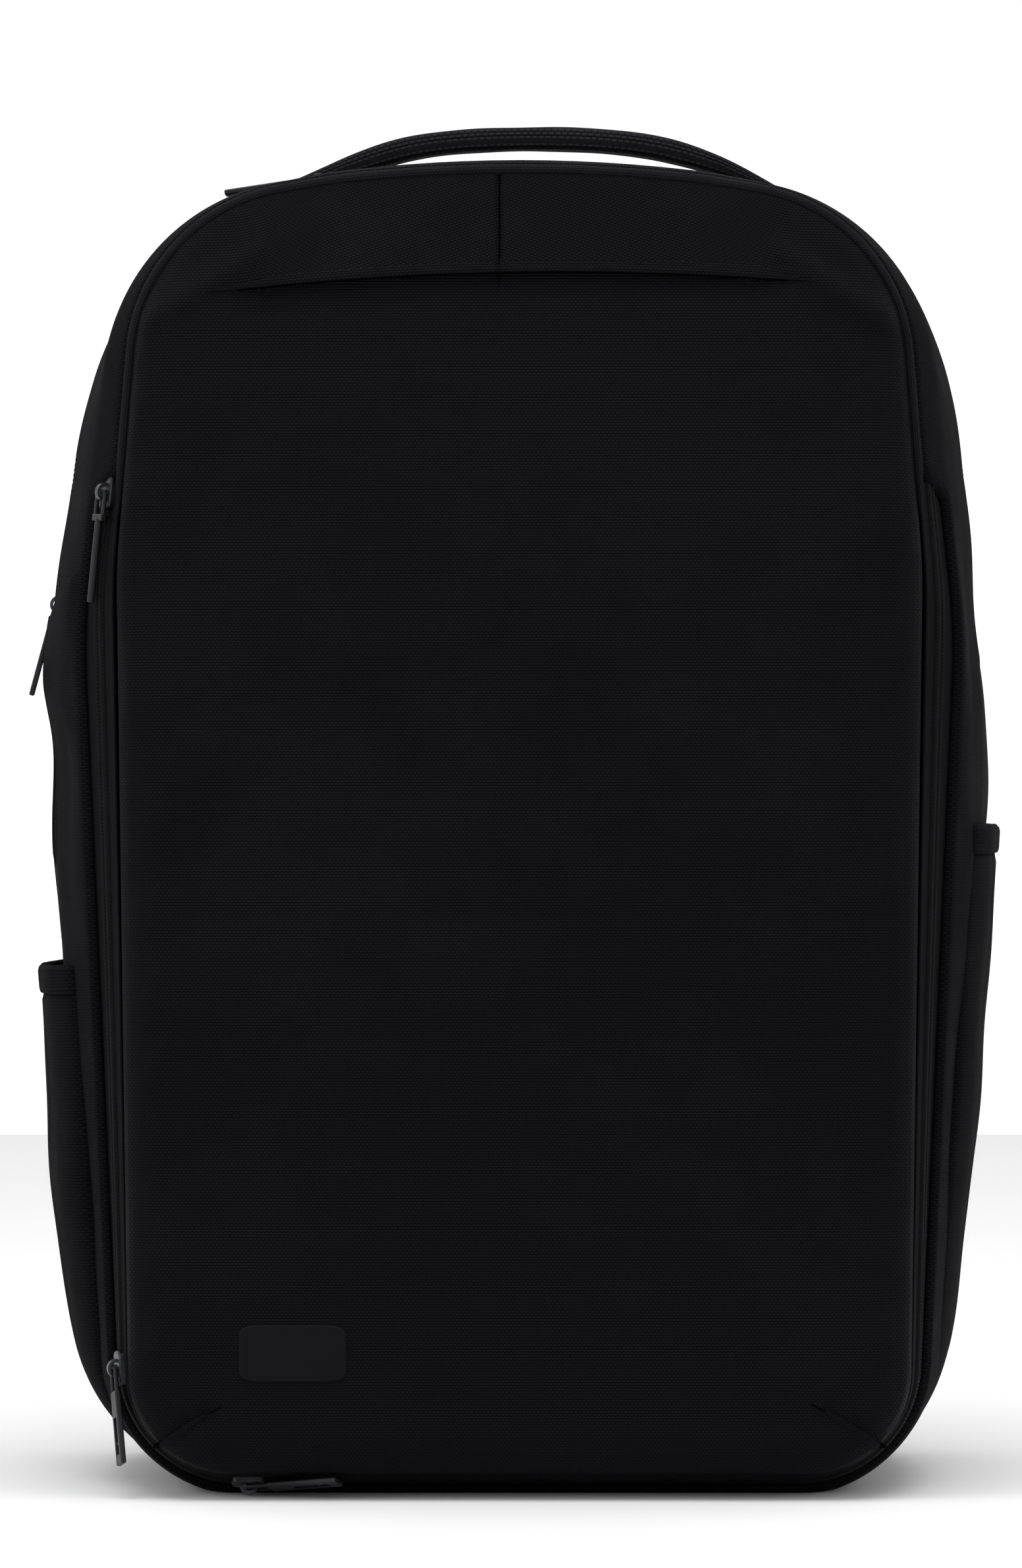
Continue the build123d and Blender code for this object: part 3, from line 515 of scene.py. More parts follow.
def stitch_row(name, path, outward, body):
    """Row of separate stitches lying on a seam."""
    spots = resample(np.hstack([path, outward]), STITCH_PITCH)
    centre, out = spots[:, :3], unit(spots[:, 3:])
    tangent = unit(np.gradient(centre, axis=0))
    across = np.cross(tangent, out)
    points = (centre[:, None] + tangent[:, None] * STITCH[None, :, :1]
              + across[:, None] * STITCH[None, :, 1:2] + out[:, None] * STITCH[None, :, 2:])
    faces = [[i + len(STITCH) * k for i in face] for k in range(len(centre)) for face in STITCH_FACES]
    return place(new_object(name, points.reshape(-1, 3), faces, THREAD), body, "webbing")


# ---- Front panel: flap, upper panel and yoke in one padded skin ----
FORWARD = (0.0, -1.0, 0.0)
PANEL_CENTRE = np.array([0.0, 236 * MM])
PANEL_HALF_X = 138 * MM
PANEL_HALF_Z = 228 * MM
PANEL_RIM = WALL.points[0][:-1][:, [0, 2]]
EDGE_RISE = 12.5 * MM
EDGE_WIDTH = 17 * MM
YOKE_WIDTH = 37 * MM
SEAM_HALF = 106 * MM
YOKE_SEAM_X = -7 * MM
YOKE_SLANT = 0.35
DARTS = (((-128 * MM, 19 * MM), (-104 * MM, 34 * MM)), ((128 * MM, 19 * MM), (101.5 * MM, 35 * MM)))


def seam_height(x):
    """Height of the yoke seam, slightly arched and lower at its left end."""
    return SEAM_Z + 2.4 * MM - 5.5 * MM * (x / SEAM_HALF) ** 2 + 1.6 * MM * (x / SEAM_HALF)


RIM_TREE = kdtree.KDTree(len(PANEL_RIM))
for number, (rim_x, rim_z) in enumerate(PANEL_RIM):
    RIM_TREE.insert((rim_x, 0, rim_z), number)
RIM_TREE.balance()


def rim_distance(x, z):
    """How far places on the panel are from its rim."""
    return np.array([RIM_TREE.find((p, 0, q))[2] for p, q in zip(x.ravel(), z.ravel())]).reshape(x.shape)


def groove(x, z, start, end, width, depth):
    """Sewn dart: a narrow valley from one point to another, fading at its tip."""
    run = np.subtract(end, start)
    length = np.linalg.norm(run)
    along = ((x - start[0]) * run[0] + (z - start[1]) * run[1]) / length
    off = ((x - start[0]) * run[1] - (z - start[1]) * run[0]) / length
    return -depth * bell(off, 0, width) * between(along, -6 * MM, 2 * MM, length - 8 * MM, length)


def panel_rise(x, z, edge):
    """How far the panel stands in front of its edge plane."""
    top = smooth_step(z, 388 * MM, 436 * MM) * (1 - np.clip(np.abs(x) / (139 * MM), 0, 1) ** 5)
    width = EDGE_WIDTH + (YOKE_WIDTH - EDGE_WIDTH) * top
    power = 2.0 - 0.85 * top
    t = np.clip(edge / width, 0, 1)
    rise = EDGE_RISE * (1 - (1 - t) ** power) ** (1 / power)
    face = smooth_step(edge, 10 * MM, 45 * MM)
    rise += 1.6 * MM * smooth_step(edge, 20 * MM, 120 * MM)
    rise += face * (0.55 * MM * soft_noise(x, z, 95 * MM, 3) + 0.2 * MM * soft_noise(x, z * 0.6, 34 * MM, 4))
    rise += bell(edge, 9 * MM, 7 * MM) * 0.35 * MM * soft_noise(x, z, 22 * MM, 5)
    for rim_end, tip in DARTS:
        rise += groove(x, z, rim_end, tip, 3.2 * MM, 1.3 * MM)
    for side in (-1, 1):
        rise -= groove(x, z, (side * 90 * MM, 436 * MM), (side * 134 * MM, 408 * MM), 5.0 * MM, 2.4 * MM)
    rise += groove(x, z, (YOKE_SEAM_X, 468 * MM), (YOKE_SEAM_X, 420 * MM), 1.0 * MM, 1.3 * MM)
    rise += groove(x, z, (41 * MM, 430 * MM), (38 * MM, 404 * MM), 3.5 * MM, 0.5 * MM)
    under = between(seam_height(x) - z, 0.0, 0.8 * MM, 2 * MM, 15 * MM)
    return rise - 2.3 * MM * under * (1 - smooth_step(np.abs(x + 2 * MM), 80 * MM, SEAM_HALF))


def panel_steps(mark, count, spread, fine_count):
    """Steps from -1 to 1, crowded round a mark."""
    fine = mark + spread * np.linspace(-1, 1, fine_count)
    steps = np.unique(np.round(np.r_[np.linspace(-1, 1, count), fine], 5))
    return steps[np.abs(steps) <= 1]


def panel_plan():
    """Plan of the panel's grid: squares round its centre spread out to its outline."""
    a = panel_steps(YOKE_SEAM_X / PANEL_HALF_X, 180, 0.022, 21)
    b = panel_steps((SEAM_Z - PANEL_CENTRE[1]) / PANEL_HALF_Z, 290, 0.026, 31)
    grid_a, grid_b = np.meshgrid(a, b)
    m = np.maximum(np.abs(grid_a), np.abs(grid_b))
    safe = np.maximum(m, 1e-9)
    angle = np.arctan2(grid_b / safe * PANEL_HALF_Z, grid_a / safe * PANEL_HALF_X)
    rim = PANEL_RIM - PANEL_CENTRE
    rim_angle = np.unwrap(np.arctan2(rim[:, 1], rim[:, 0]))
    angle = np.where(angle < rim_angle[0], angle + 2 * math.pi, angle)
    edge_x, edge_z = np.interp(angle, rim_angle, rim[:, 0]), np.interp(angle, rim_angle, rim[:, 1])
    return PANEL_CENTRE[0] + edge_x * m, PANEL_CENTRE[1] + edge_z * m


def yoke_weave(points):
    """The panel's UV map; in the two halves of the yoke the weave turns about the seam's ends."""
    uv = np.stack([points[:, 0], points[:, 2]], 1)
    off_seam = np.abs(points[:, 0] + 2.5 * MM)
    yoke = points[:, 2] > seam_height(points[:, 0]) + 2.5 * np.maximum(off_seam - SEAM_HALF, 0)
    side = np.where(points[:, 0] < YOKE_SEAM_X, -1, 1)
    pivot = np.stack([side * SEAM_HALF, np.full_like(side, SEAM_Z, float)], 1)
    cos, sin = math.cos(YOKE_SLANT), side * math.sin(YOKE_SLANT)
    arm = uv - pivot
    turned = pivot + np.stack([arm[:, 0] * cos - arm[:, 1] * sin, arm[:, 0] * sin + arm[:, 1] * cos], 1)
    share = yoke * (1 - smooth_step(off_seam, 62 * MM, 103 * MM))
    return uv + (turned - uv) * share[:, None]


def front_panel():
    x, z = panel_plan()
    rows, columns = x.shape
    edge = rim_distance(x, z)
    edge[[0, -1]] = 0
    edge[:, [0, -1]] = 0
    puff_out = 3.4 * MM * bell(z, 335 * MM, 70 * MM) * (x < 0)
    puff_out = puff_out * np.sin(np.clip(edge / (16 * MM), 0, 1) * math.pi)
    outer = np.stack([x - puff_out, FRONT_EDGE_Y - panel_rise(x, z, edge), z], -1)
    depth = np.minimum(outer[..., 1] + 4.5 * MM, FRONT_EDGE_Y + 3 * MM)
    tuck = np.where(edge < 4 * MM, (4 * MM - edge), 0)[..., None]
    inward = unit(PANEL_CENTRE - np.stack([x, z], -1)) * tuck
    inner = np.stack([x + inward[..., 0], depth, z + inward[..., 1]], -1)
    ring = [(0, c) for c in range(columns)] + [(r, columns - 1) for r in range(1, rows)]
    ring += [(rows - 1, c) for c in range(columns - 2, -1, -1)] + [(r, 0) for r in range(rows - 2, 0, -1)]
    ring = np.array([r * columns + c for r, c in ring])
    lip = outer.reshape(-1, 3)[ring] * (1, 0, 1) + (0, FRONT_EDGE_Y + 3.2 * MM, 0)
    lip += (inner.reshape(-1, 3)[ring] - lip) * (0.25, 0, 0.25)
    points = np.vstack([outer.reshape(-1, 3), inner.reshape(-1, 3), lip])
    total = rows * columns
    faces = grid_faces(rows, columns)
    faces += [face[::-1] for face in grid_faces(rows, columns, start=total)]
    for k in range(len(ring)):
        p, q = ring[k], ring[(k + 1) % len(ring)]
        a, b = 2 * total + k, 2 * total + (k + 1) % len(ring)
        faces += [[q, p, a, b], [b, a, p + total, q + total]]
    piece = new_object("front_panel_skin", points, faces, PANEL, yoke_weave(points))
    piece.data.materials.append(LINING)
    inside = np.zeros(len(piece.data.polygons), int)
    inside[(rows - 1) * (columns - 1):2 * (rows - 1) * (columns - 1)] = 1
    piece.data.polygons.foreach_set("material_index", inside)
    bend(piece, "root")
    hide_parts("front_flap", "front_upper_panel", "front_yoke_left", "front_yoke_right")


def panel_y(x, z):
    """Depth of the panel's face at places on it."""
    return FRONT_EDGE_Y - panel_rise(x, z, rim_distance(x, z))


def seam_shadow_line(name, path, outward, radii, body, thin=None):
    """Painted seam shadow: a dark line laid in the depth of a seam, where shade falls."""
    place(sweep(name, path, outward, oval(*radii, sides=10), SEAM_SHADE, thin), body, "webbing")


def yoke_seam():
    """Folded edge of the yoke where it overlaps the panel below."""
    x = np.linspace(-109 * MM, 104 * MM, 160)
    z = seam_height(x)
    path = np.stack([x, panel_y(x, z + 1.2 * MM), z], 1)
    fade = np.minimum(smooth_step(x, -109 * MM, -88 * MM), 1 - smooth_step(x, 84 * MM, 104 * MM))
    profile = np.array([(-7.0, -0.5), (-5.0, 0.05), (-2.5, 0.42), (-0.9, 0.6), (0.0, 0.5), (0.55, 0.05),
                        (0.6, -0.6), (0.2, -1.3), (-3.0, -1.5)]) * MM
    scale = np.stack([0.35 + 0.65 * fade, 0.15 + 0.85 * fade], 1)
    outward = (0.0, -1.0, 0.28)
    place(sweep("yoke_fold", path, outward, profile, PANEL, scale), "root", "panel_fabric")
    inside = slice(8, 152)
    # painted shadow under the yoke's folded edge
    line = path[inside] + (0, 0.25 * MM, -0.5 * MM)
    thin = np.tile(fade[inside, None], (1, 2)) * 0.75 + 0.25
    seam_shadow_line("yoke_seam_shadow_line", line, outward, (0.62 * MM, 0.5 * MM), "root", thin)
    # painted shadow down the yoke's centre seam
    z = np.linspace(seam_height(YOKE_SEAM_X) + 0.6 * MM, 462 * MM, 60)
    x = np.full_like(z, YOKE_SEAM_X)
    line = np.stack([x, panel_y(x, z) + 0.12 * MM, z], 1)
    seam_shadow_line("yoke_centre_shadow_line", line, FORWARD, (0.42 * MM, 0.4 * MM), "root")


def dart_seams():
    """Folded darts that shape the panel's two lower corners."""
    for name, ((x0, z0), (x1, z1)) in zip(("left", "right"), DARTS):
        t = np.linspace(0, 1, 60)
        x, z = np.linspace(x0, x1, 60), np.linspace(z0, z1, 60)
        z = z + 0.9 * MM * np.sin(t * math.pi)
        path = np.stack([x, panel_y(x, z), z], 1)
        fade = np.minimum(smooth_step(t, 0.0, 0.1), 1 - smooth_step(t, 0.6, 1.0))
        scale = np.stack([0.3 + 0.7 * fade, 0.1 + 0.9 * fade], 1)
        lip = np.array([(4.2, -0.5), (3.0, 0.1), (1.6, 0.6), (0.6, 0.85), (0.0, 0.55), (-0.2, -0.4),
                        (1.5, -1.0)]) * MM
        if x0 > 0:
            lip = lip[::-1] * (-1, 1)
        place(sweep(f"dart_fold_{name}", path, FORWARD, lip, PANEL, scale), "flap", "panel_fabric")
        # painted shadow along the dart's fold
        line = path + (0, -0.05 * MM, -0.75 * MM)
        thin = np.tile(fade[:, None], (1, 2)) * 0.7 + 0.3
        seam_shadow_line(f"dart_shadow_line_{name}", line, FORWARD, (0.6 * MM, 0.45 * MM), "flap", thin)


def badge():
    """Blank moulded patch, low on the left."""
    low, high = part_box("badge_patch")
    u = np.linspace(-1, 1, 60)
    grid_u, grid_v = np.meshgrid(u, u)
    power = 7.0
    m = np.maximum(np.abs(grid_u), np.abs(grid_v))
    squash = m / np.maximum((np.abs(grid_u) ** power + np.abs(grid_v) ** power) ** (1 / power), 1e-9)
    middle, half = (low + high) / 2, (high - low) / 2
    x = middle.x + grid_u * squash * half.x
    z = middle.z + grid_v * squash * half.z
    raise_by = 0.75 * MM * np.clip((1 - m) / 0.06, 0, 1) ** 0.5 - 0.12 * MM * (np.abs(m - 0.86) < 0.03)
    y = panel_y(x, z) - raise_by + 0.15 * MM
    piece = grid_piece("blank_patch", np.stack([x, y, z], -1), RUBBER)
    place(thicken(piece, 0.6 * MM), "flap", "patch_rubber", "badge_patch")


# ---- Gusset, piping and zippers ----
FOLD_SLOPE = -20 / 47
TAPE_THICKNESS = 0.9 * MM
COIL_PITCH = 1.5 * MM
COIL_TILT = 1.1 * MM
GUSSET_THICKNESS = 2.6 * MM
GUSSET_FLOOR = 2.7 * MM


def zip_spread(s, y):
    """1 above the front zipper, 0 along it."""
    z = WALL.at(s, y)[..., 2]
    return smooth_step(z, ZIP_TOP_Z - 12 * MM, ZIP_TOP_Z + 4 * MM)


def main_zip_share(s):
    """1 where the main zipper runs, 0 elsewhere."""
    spot = WALL.at(s, MAIN_CHAIN_Y)
    limit = np.where(spot[..., 0] < 0, MAIN_LEFT_Z, MAIN_RIGHT_Z)
    return smooth_step(spot[..., 2] - limit, -6 * MM, 0.0)


def wall_wrinkles(s, y):
    """Soft puckers in the gusset, and the folded edge that runs back to the side slider."""
    u = s * ROUND_LENGTH
    spot = WALL.at(s, y)
    left = spot[..., 0] < -100 * MM
    height = spot[..., 2]
    wave = 0.55 * MM * soft_noise(u, y, 85 * MM, 11) + 0.3 * MM * soft_noise(u, y * 0.5, 30 * MM, 12)
    fade = between(y, -66 * MM, -50 * MM, 50 * MM, 66 * MM)
    bulge = 1.2 * MM * bell(height, 284 * MM, 11 * MM) * left
    edge = 325 * MM + (y + 68 * MM) * FOLD_SLOPE - height
    fold = 1.7 * MM * between(edge, -0.5 * MM, 0.6 * MM, 4 * MM, 34 * MM) * left
    fold = fold * between(y, -69 * MM, -62 * MM, -28 * MM, -22 * MM)
    return (wave * smooth_step(height, 2 * MM, 40 * MM) + bulge) * fade + fold


def gusset():
    around = np.linspace(0, 1, 760, endpoint=False)
    mark = np.r_[np.linspace(0, 0.06, 7), np.linspace(0.075, 0.26, 20), np.linspace(0.27, 0.49, 58),
                 np.linspace(0.505, 1, 44)]
    s, v = np.meshgrid(around, mark)
    start = BAND_BACK_Y - 1.0 * MM - 14.5 * MM * zip_spread(s, np.full_like(s, BAND_BACK_Y))
    y = start + v * (BACK_Y - start)
    # the trench of the main zipper and its folded lips
    off = np.abs(y - MAIN_CHAIN_Y)
    runs = main_zip_share(s)
    trench = -4.2 * MM * (1 - smooth_step(off, 6.6 * MM, 7.6 * MM)) + 0.5 * MM * bell(off, 9.0 * MM, 1.7 * MM)
    lift = trench * runs + wall_wrinkles(s, y)
    lip = np.clip(1 - (y - start) / (1.6 * MM), 0, 1)
    lift = lift + 0.35 * MM - 1.5 * MM * (1 - np.sqrt(1 - lip**2 * 0.98))
    end = np.clip(1 - (BACK_Y - y) / (6 * MM), 0, 1)
    lift = lift - 1.5 * MM * end**2
    points = WALL.at(s, y, lift)
    points[..., 2] = np.maximum(points[..., 2], GUSSET_FLOOR)
    uv = np.stack([y, s * ROUND_LENGTH], -1)
    piece = built_up(grid_piece("gusset_skin", points, SHELL, uv, closed=True), GUSSET_THICKNESS)
    place(piece, "root", "shell_fabric", "main_gusset", "front_band")
    cut_cloth(piece, BACK_Y - BAND_BACK_Y + 14 * MM, "stretched", "frame_sheet", "base_board")


def zip_part(name, body, run, depths, lift, coil=False, rows=9, nodes=()):
    """Strip of tape or coil laid on the wall along a run and between two depths."""
    count = max(8, int((run[1] - run[0]) * ROUND_LENGTH / (0.3 * MM if coil else 1.6 * MM)))
    s, y = np.meshgrid(np.linspace(*run, count), np.linspace(*depths, rows))
    points = WALL.at(s, y, lift((y - depths[0]) / (depths[1] - depths[0]), s))
    uv = np.stack([s * ROUND_LENGTH, y], -1)
    piece = built_up(grid_piece(name, points, COIL if coil else TAPE, uv), TAPE_THICKNESS)
    return place(piece, body, "zip_coil" if coil else "zip_tape", *nodes)


def coil_lift(base, height, tilt):
    """Rounded ridge of coil with slanted ribs."""
    def lift(across, s):
        ridge = np.sin(np.clip(across, 0, 1) * math.pi) ** 0.55
        rib = 0.5 + 0.5 * np.cos(2 * math.pi * (s * ROUND_LENGTH + tilt * across) / COIL_PITCH)
        return base + height * ridge * (0.72 + 0.28 * rib)
    return lift


def flat_lift(base):
    return lambda across, s: np.full_like(across, base)


def wall_stitches(name, spots, y, lift, body, wrinkled=True):
    """Row of stitches that follows the wall at one depth."""
    y = np.full_like(spots, y)
    lift = lift + (wall_wrinkles(spots, y) if wrinkled else 0.0)
    stitch_row(name, WALL.at(spots, y, lift), WALL.normal(spots, y), body)


def front_zipper():
    top_left, top_right = (WALL.share(side, ZIP_TOP_Z, CHAIN_Y) for side in (-1, 1))
    hinge_left, hinge_right = (WALL.share(side, HINGE_Z - 0.5 * MM, CHAIN_Y) for side in (-1, 1))
    fixed_run, flap_run = (top_left - 1, top_right), (hinge_left - 1, hinge_right)
    flap_tape = (FRONT_EDGE_Y + 2.4 * MM, CHAIN_Y - 0.15 * MM)
    flap_coil = (CHAIN_Y - 2.1 * MM, CHAIN_Y - 0.12 * MM)
    tape_lift, rib_lift = flat_lift(-0.9 * MM), coil_lift(-0.9 * MM, 1.25 * MM, -COIL_TILT)
    zip_part("zip_tape_fixed", "root", fixed_run, (CHAIN_Y + 0.15 * MM, BAND_BACK_Y + 0.5 * MM), tape_lift,
             nodes=["front_zip_tape"])
    zip_part("zip_tape_flap", "flap", flap_run, flap_tape, tape_lift, nodes=["flap_zip_tape"])
    zip_part("zip_coil_fixed", "root", fixed_run, (CHAIN_Y + 0.12 * MM, CHAIN_Y + 2.1 * MM),
             coil_lift(-0.9 * MM, 1.25 * MM, COIL_TILT), True, 8, ["front_zip_coil"])
    zip_part("zip_coil_flap", "flap", flap_run, flap_coil, rib_lift, True, 8, ["flap_zip_coil"])
    for name, run in (("right", (hinge_right, top_right)), ("left", (top_left - 1, hinge_left - 1))):
        zip_part(f"zip_end_tape_{name}", "root", run, flap_tape, tape_lift)
        zip_part(f"zip_end_coil_{name}", "root", run, flap_coil, rib_lift, True, 8)
    spots = np.linspace(fixed_run[0] - 0.004, fixed_run[1] + 0.004, 900)
    for k, back in enumerate((2.4 * MM, 5.2 * MM)):
        wall_stitches(f"lip_stitch_{k}", spots, BAND_BACK_Y - 1.0 * MM + back, 0.3 * MM, "root")
    spots = np.linspace(*flap_run, 800)
    wall_stitches("flap_tape_stitch", spots, FRONT_EDGE_Y + 4.6 * MM, -0.85 * MM, "flap", wrinkled=False)


def main_zipper():
    left = WALL.share(-1, MAIN_LEFT_Z + 3 * MM, MAIN_CHAIN_Y)
    right = WALL.share(1, MAIN_RIGHT_Z + 3 * MM, MAIN_CHAIN_Y)
    half = 7.4 * MM
    tape = zip_part("main_tape", "root", (right, left), (MAIN_CHAIN_Y - half, MAIN_CHAIN_Y + half),
                    flat_lift(-1.3 * MM), rows=5, nodes=["main_zip_tape"])
    cut_cloth(tape, 2 * half, "stretched", "gusset_skin")
    for k, side in enumerate((-1, 1)):
        depths = sorted((MAIN_CHAIN_Y + side * 0.12 * MM, MAIN_CHAIN_Y + side * 2.4 * MM))
        lift = coil_lift(-1.2 * MM, 1.2 * MM, side * COIL_TILT)
        nodes = [] if k else ["main_zip_coil"]
        zip_part(f"main_coil_{k}", "root", (right, left), depths, lift, True, 8, nodes)
        wall_stitches(f"main_lip_stitch_{k}", np.linspace(right, left, 500), MAIN_CHAIN_Y + side * 11.4 * MM,
                      0.75 * MM, "root")


def piping():
    """Cloth-covered cord over the top of the front edge, tapering where the zipper starts."""
    right, left = (WALL.share(side, HINGE_Z + 1 * MM, FRONT_EDGE_Y) for side in (1, -1))
    s = np.linspace(right, left, 700)
    y = np.full_like(s, FRONT_EDGE_Y + 1.2 * MM)
    path = WALL.at(s, y, 0.5 * MM)
    ends = np.minimum(smooth_step(s, right, right + 0.014), 1 - smooth_step(s, left - 0.014, left))
    thick = (0.35 + 0.65 * ends) * (1 + 0.03 * soft_noise(s * ROUND_LENGTH, s * 0, 18 * MM, 21))
    profile = oval(1.95 * MM, 1.95 * MM, sides=16)
    piece = sweep("edge_piping", path, WALL.normal(s, y), profile, PIPING, np.stack([thick, thick], 1))
    place(piece, "root", "webbing", "front_piping")


def back_piping():
    """Piping where the gusset meets the back panel."""
    s = np.linspace(0, 1, 900)
    y = np.full_like(s, BACK_Y)
    path = WALL.at(s, y, -0.9 * MM) + (0, 1.4 * MM, 0)
    path[:, 2] = np.maximum(path[:, 2], 2.2 * MM)
    outward = WALL.normal(s, y) * (1, 0, 1) + (0, 0.6, 0)
    piece = sweep("back_piping", path, outward, oval(2.1 * MM, 2.1 * MM, sides=14), PIPING)
    place(piece, "root", "webbing")


# ---- Bottle pockets ----
def bottle_pocket(name, side):
    """Elastic side pocket; the left one is lower and fuller."""
    low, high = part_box(f"bottle_pocket_{name}")
    depth, belly, mouth = (9.8, 4.8, 1.8) if side < 0 else (5.6, 2.6, 0.6)
    z = np.r_[np.linspace(low.z + 1 * MM, high.z - 10 * MM, 76), np.linspace(high.z - 9.2 * MM, high.z, 12)]
    y = np.linspace(low.y - 3 * MM, high.y + 3 * MM, 60)
    grid_y, grid_z = np.meshgrid(y, z)
    s = np.array([[WALL.share(side, q, p) for p in y] for q in z])
    v = (grid_y - y[0]) / (y[-1] - y[0])
    h = (grid_z - z[0]) / (z[-1] - z[0])
    swell = (np.clip(np.sin(v * math.pi), 0, 1) ** 0.42) * (1 - (1 - np.clip(h / 0.3, 0, 1)) ** 2.0)
    full = depth * (1 - 0.22 * h) + belly * bell(h, 0.58, 0.27) + mouth * smooth_step(h, 0.7, 1.0)
    lift = 0.7 * MM + full * MM * swell
    lift += 0.4 * MM * soft_noise(grid_z, grid_y, 48 * MM, 31 + side) * swell
    hem_line = high.z - 9.0 * MM
    lift += 0.75 * MM * smooth_step(grid_z, hem_line - 0.3 * MM, hem_line + 0.5 * MM)
    lift -= 1.0 * MM * bell(grid_z, hem_line - 0.5 * MM, 0.8 * MM)
    roll = np.clip((grid_z - (high.z - 1.4 * MM)) / (1.4 * MM), 0, 1)
    lift -= 1.2 * MM * roll**2
    lift -= 0.5 * MM * bell(v, 0.3, 0.012) * swell
    points = WALL.at(s, grid_y, lift)
    uv = np.stack([grid_y, grid_z], -1)
    piece = built_up(grid_piece(f"pocket_skin_{name}", points, SHELL, uv), 1.3 * MM, side < 0)
    place(piece, "root", "shell_fabric", f"bottle_pocket_{name}", f"pocket_hem_{name}")
    cut_cloth(piece, y[-1] - y[0], "stretched", "gusset_skin")
    row = int(np.argmin(np.abs(z - hem_line - 1.6 * MM)))
    normals = WALL.normal(s, grid_y)[row, 3:-3]
    stitch_row(f"hem_stitch_{name}", points[row, 3:-3] + normals * 0.1 * MM, normals, "root")


# ---- Handle ----
def top_handle():
    low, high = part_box("top_handle")
    line = [(-122, 443), (-108, 453.5), (-96, 460.5), (-86, 466.0), (-74, 470.4), (-60, 476.2), (-39, 482.6),
            (-18, 484.8), (5, 485.4), (27, 485.0), (50, 482.6), (71, 476.6), (83, 471.2), (92, 466.0),
            (102, 460.4), (114, 453), (126, 443)]
    middle_y = (low.y + high.y) / 2
    path = rounded_path([(x * MM, middle_y, z * MM) for x, z in line], 2 * MM, 30)
    # the feet lie on the bag's crown
    crown = WALL.points[int(WALL.row(middle_y))]
    crown = crown[crown[:, 2] > 400 * MM]
    crown = crown[np.argsort(crown[:, 0])]
    path[:, 2] = np.maximum(path[:, 2], np.interp(path[:, 0], crown[:, 0], crown[:, 2]) + 2.0 * MM)
    path = rounded_path(path, 2 * MM, 4)
    x = path[:, 0] - 4 * MM
    flare = smooth_step(np.abs(x), 50 * MM, 92 * MM)
    wavy = 1 + 0.025 * soft_noise(x, x * 0, 34 * MM, 41)
    scale = np.stack([(0.82 + 0.36 * flare) * wavy, (1.06 - 0.55 * flare) * wavy], 1)
    up, half_width = (0.0, 0.0, 1.0), 15.5 * MM
    core = oval(half_width, 3.6 * MM, 3.0, 40)
    core[:, 1] += 0.5 * MM * np.sin(core[:, 0] / half_width * math.pi * 1.5) * (core[:, 1] > 0)
    piece = sweep("handle_webbing", path, up, core, WEBBING, scale)
    place(piece, "root", "webbing", "top_handle", "handle_anchor_left", "handle_anchor_right")
    band = oval(1.7 * MM, 3.9 * MM, 3.0, 14)
    front = path + np.stack([0 * x, -(13.2 + 4.5 * flare) * MM, 0 * x - 0.8 * MM], 1)
    lip = sweep("handle_front_edge", front, up, band, WEBBING, np.stack([0 * x + 1, 1 - 0.5 * flare], 1))
    place(lip, "root", "webbing")
    for k, off in enumerate((-9.5, 9.5)):
        row = path + np.stack([0 * x, off * (0.85 + 0.35 * flare) * MM, (2.6 - 1.2 * flare) * MM], 1)
        stitch_row(f"handle_stitch_{k}", row[6:-6], np.broadcast_to(up, row[6:-6].shape), "root")


# ---- Back: panel, pads, sleeve and harness ----
VOXEL = 4.5 * MM
CLOTH_STEPS = 20
CHANNEL_SPACING = 40 * MM
CHANNEL_DEPTH = 1.7 * MM
CHANNEL_WIDTH = 2.4 * MM
WEBBING_WIDTH = 25 * MM
RAIL_WIDTH = 10 * MM


def read_points(piece):
    return np.array([v.co for v in piece.data.vertices])


def write_points(piece, co):
    piece.data.vertices.foreach_set("co", co.astype(np.float32).ravel())


def cad_copy(name, node):
    return link_object(name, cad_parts[node].data.copy())


def bake(piece):
    """Applies a piece's modifiers to its mesh."""
    bpy.context.view_layer.update()
    graph = bpy.context.evaluated_depsgraph_get()
    mesh = bpy.data.meshes.new_from_object(piece.evaluated_get(graph))
    piece.modifiers.clear()
    piece.data = mesh


def sew_channels(piece):
    """Presses sewn channels across a pad's outer face."""
    co = read_points(piece)
    low, high = co.min(0), co.max(0)
    count = int((high[2] - low[2]) / CHANNEL_SPACING)
    lines = low[2] + (high[2] - low[2]) * (np.arange(count) + 0.5) / count
    inset = np.minimum(co[:, 0] - low[0], high[0] - co[:, 0])
    outer = smooth_step(co[:, 1], low[1] + 0.45 * (high[1] - low[1]), low[1] + 0.8 * (high[1] - low[1]))
    press = sum(bell(co[:, 2], line, CHANNEL_WIDTH) for line in lines)
    co[:, 1] -= CHANNEL_DEPTH * press * outer * smooth_step(inset, 3 * MM, 12 * MM)
    write_points(piece, co)


def swell_cloth(piece, cap):
    """Swells a pad under pressure in a cloth simulation, no point by more than the cap."""
    scene = bpy.context.scene
    before = read_points(piece)
    scene.frame_set(1)
    modifier = modify(piece, "swell", "CLOTH")
    modifier.settings.use_pressure = True
    modifier.settings.uniform_pressure_force = 4.0
    modifier.settings.effector_weights.gravity = 0.0
    modifier.settings.quality = 4
    modifier.point_cache.frame_end = CLOTH_STEPS
    for step in range(1, CLOTH_STEPS + 1):
        scene.frame_set(step)
    bake(piece)
    scene.frame_set(1)
    move = read_points(piece) - before
    far = np.linalg.norm(move, axis=1, keepdims=True)
    move *= np.minimum(1, cap / np.maximum(far, 1e-9))
    write_points(piece, before + move)


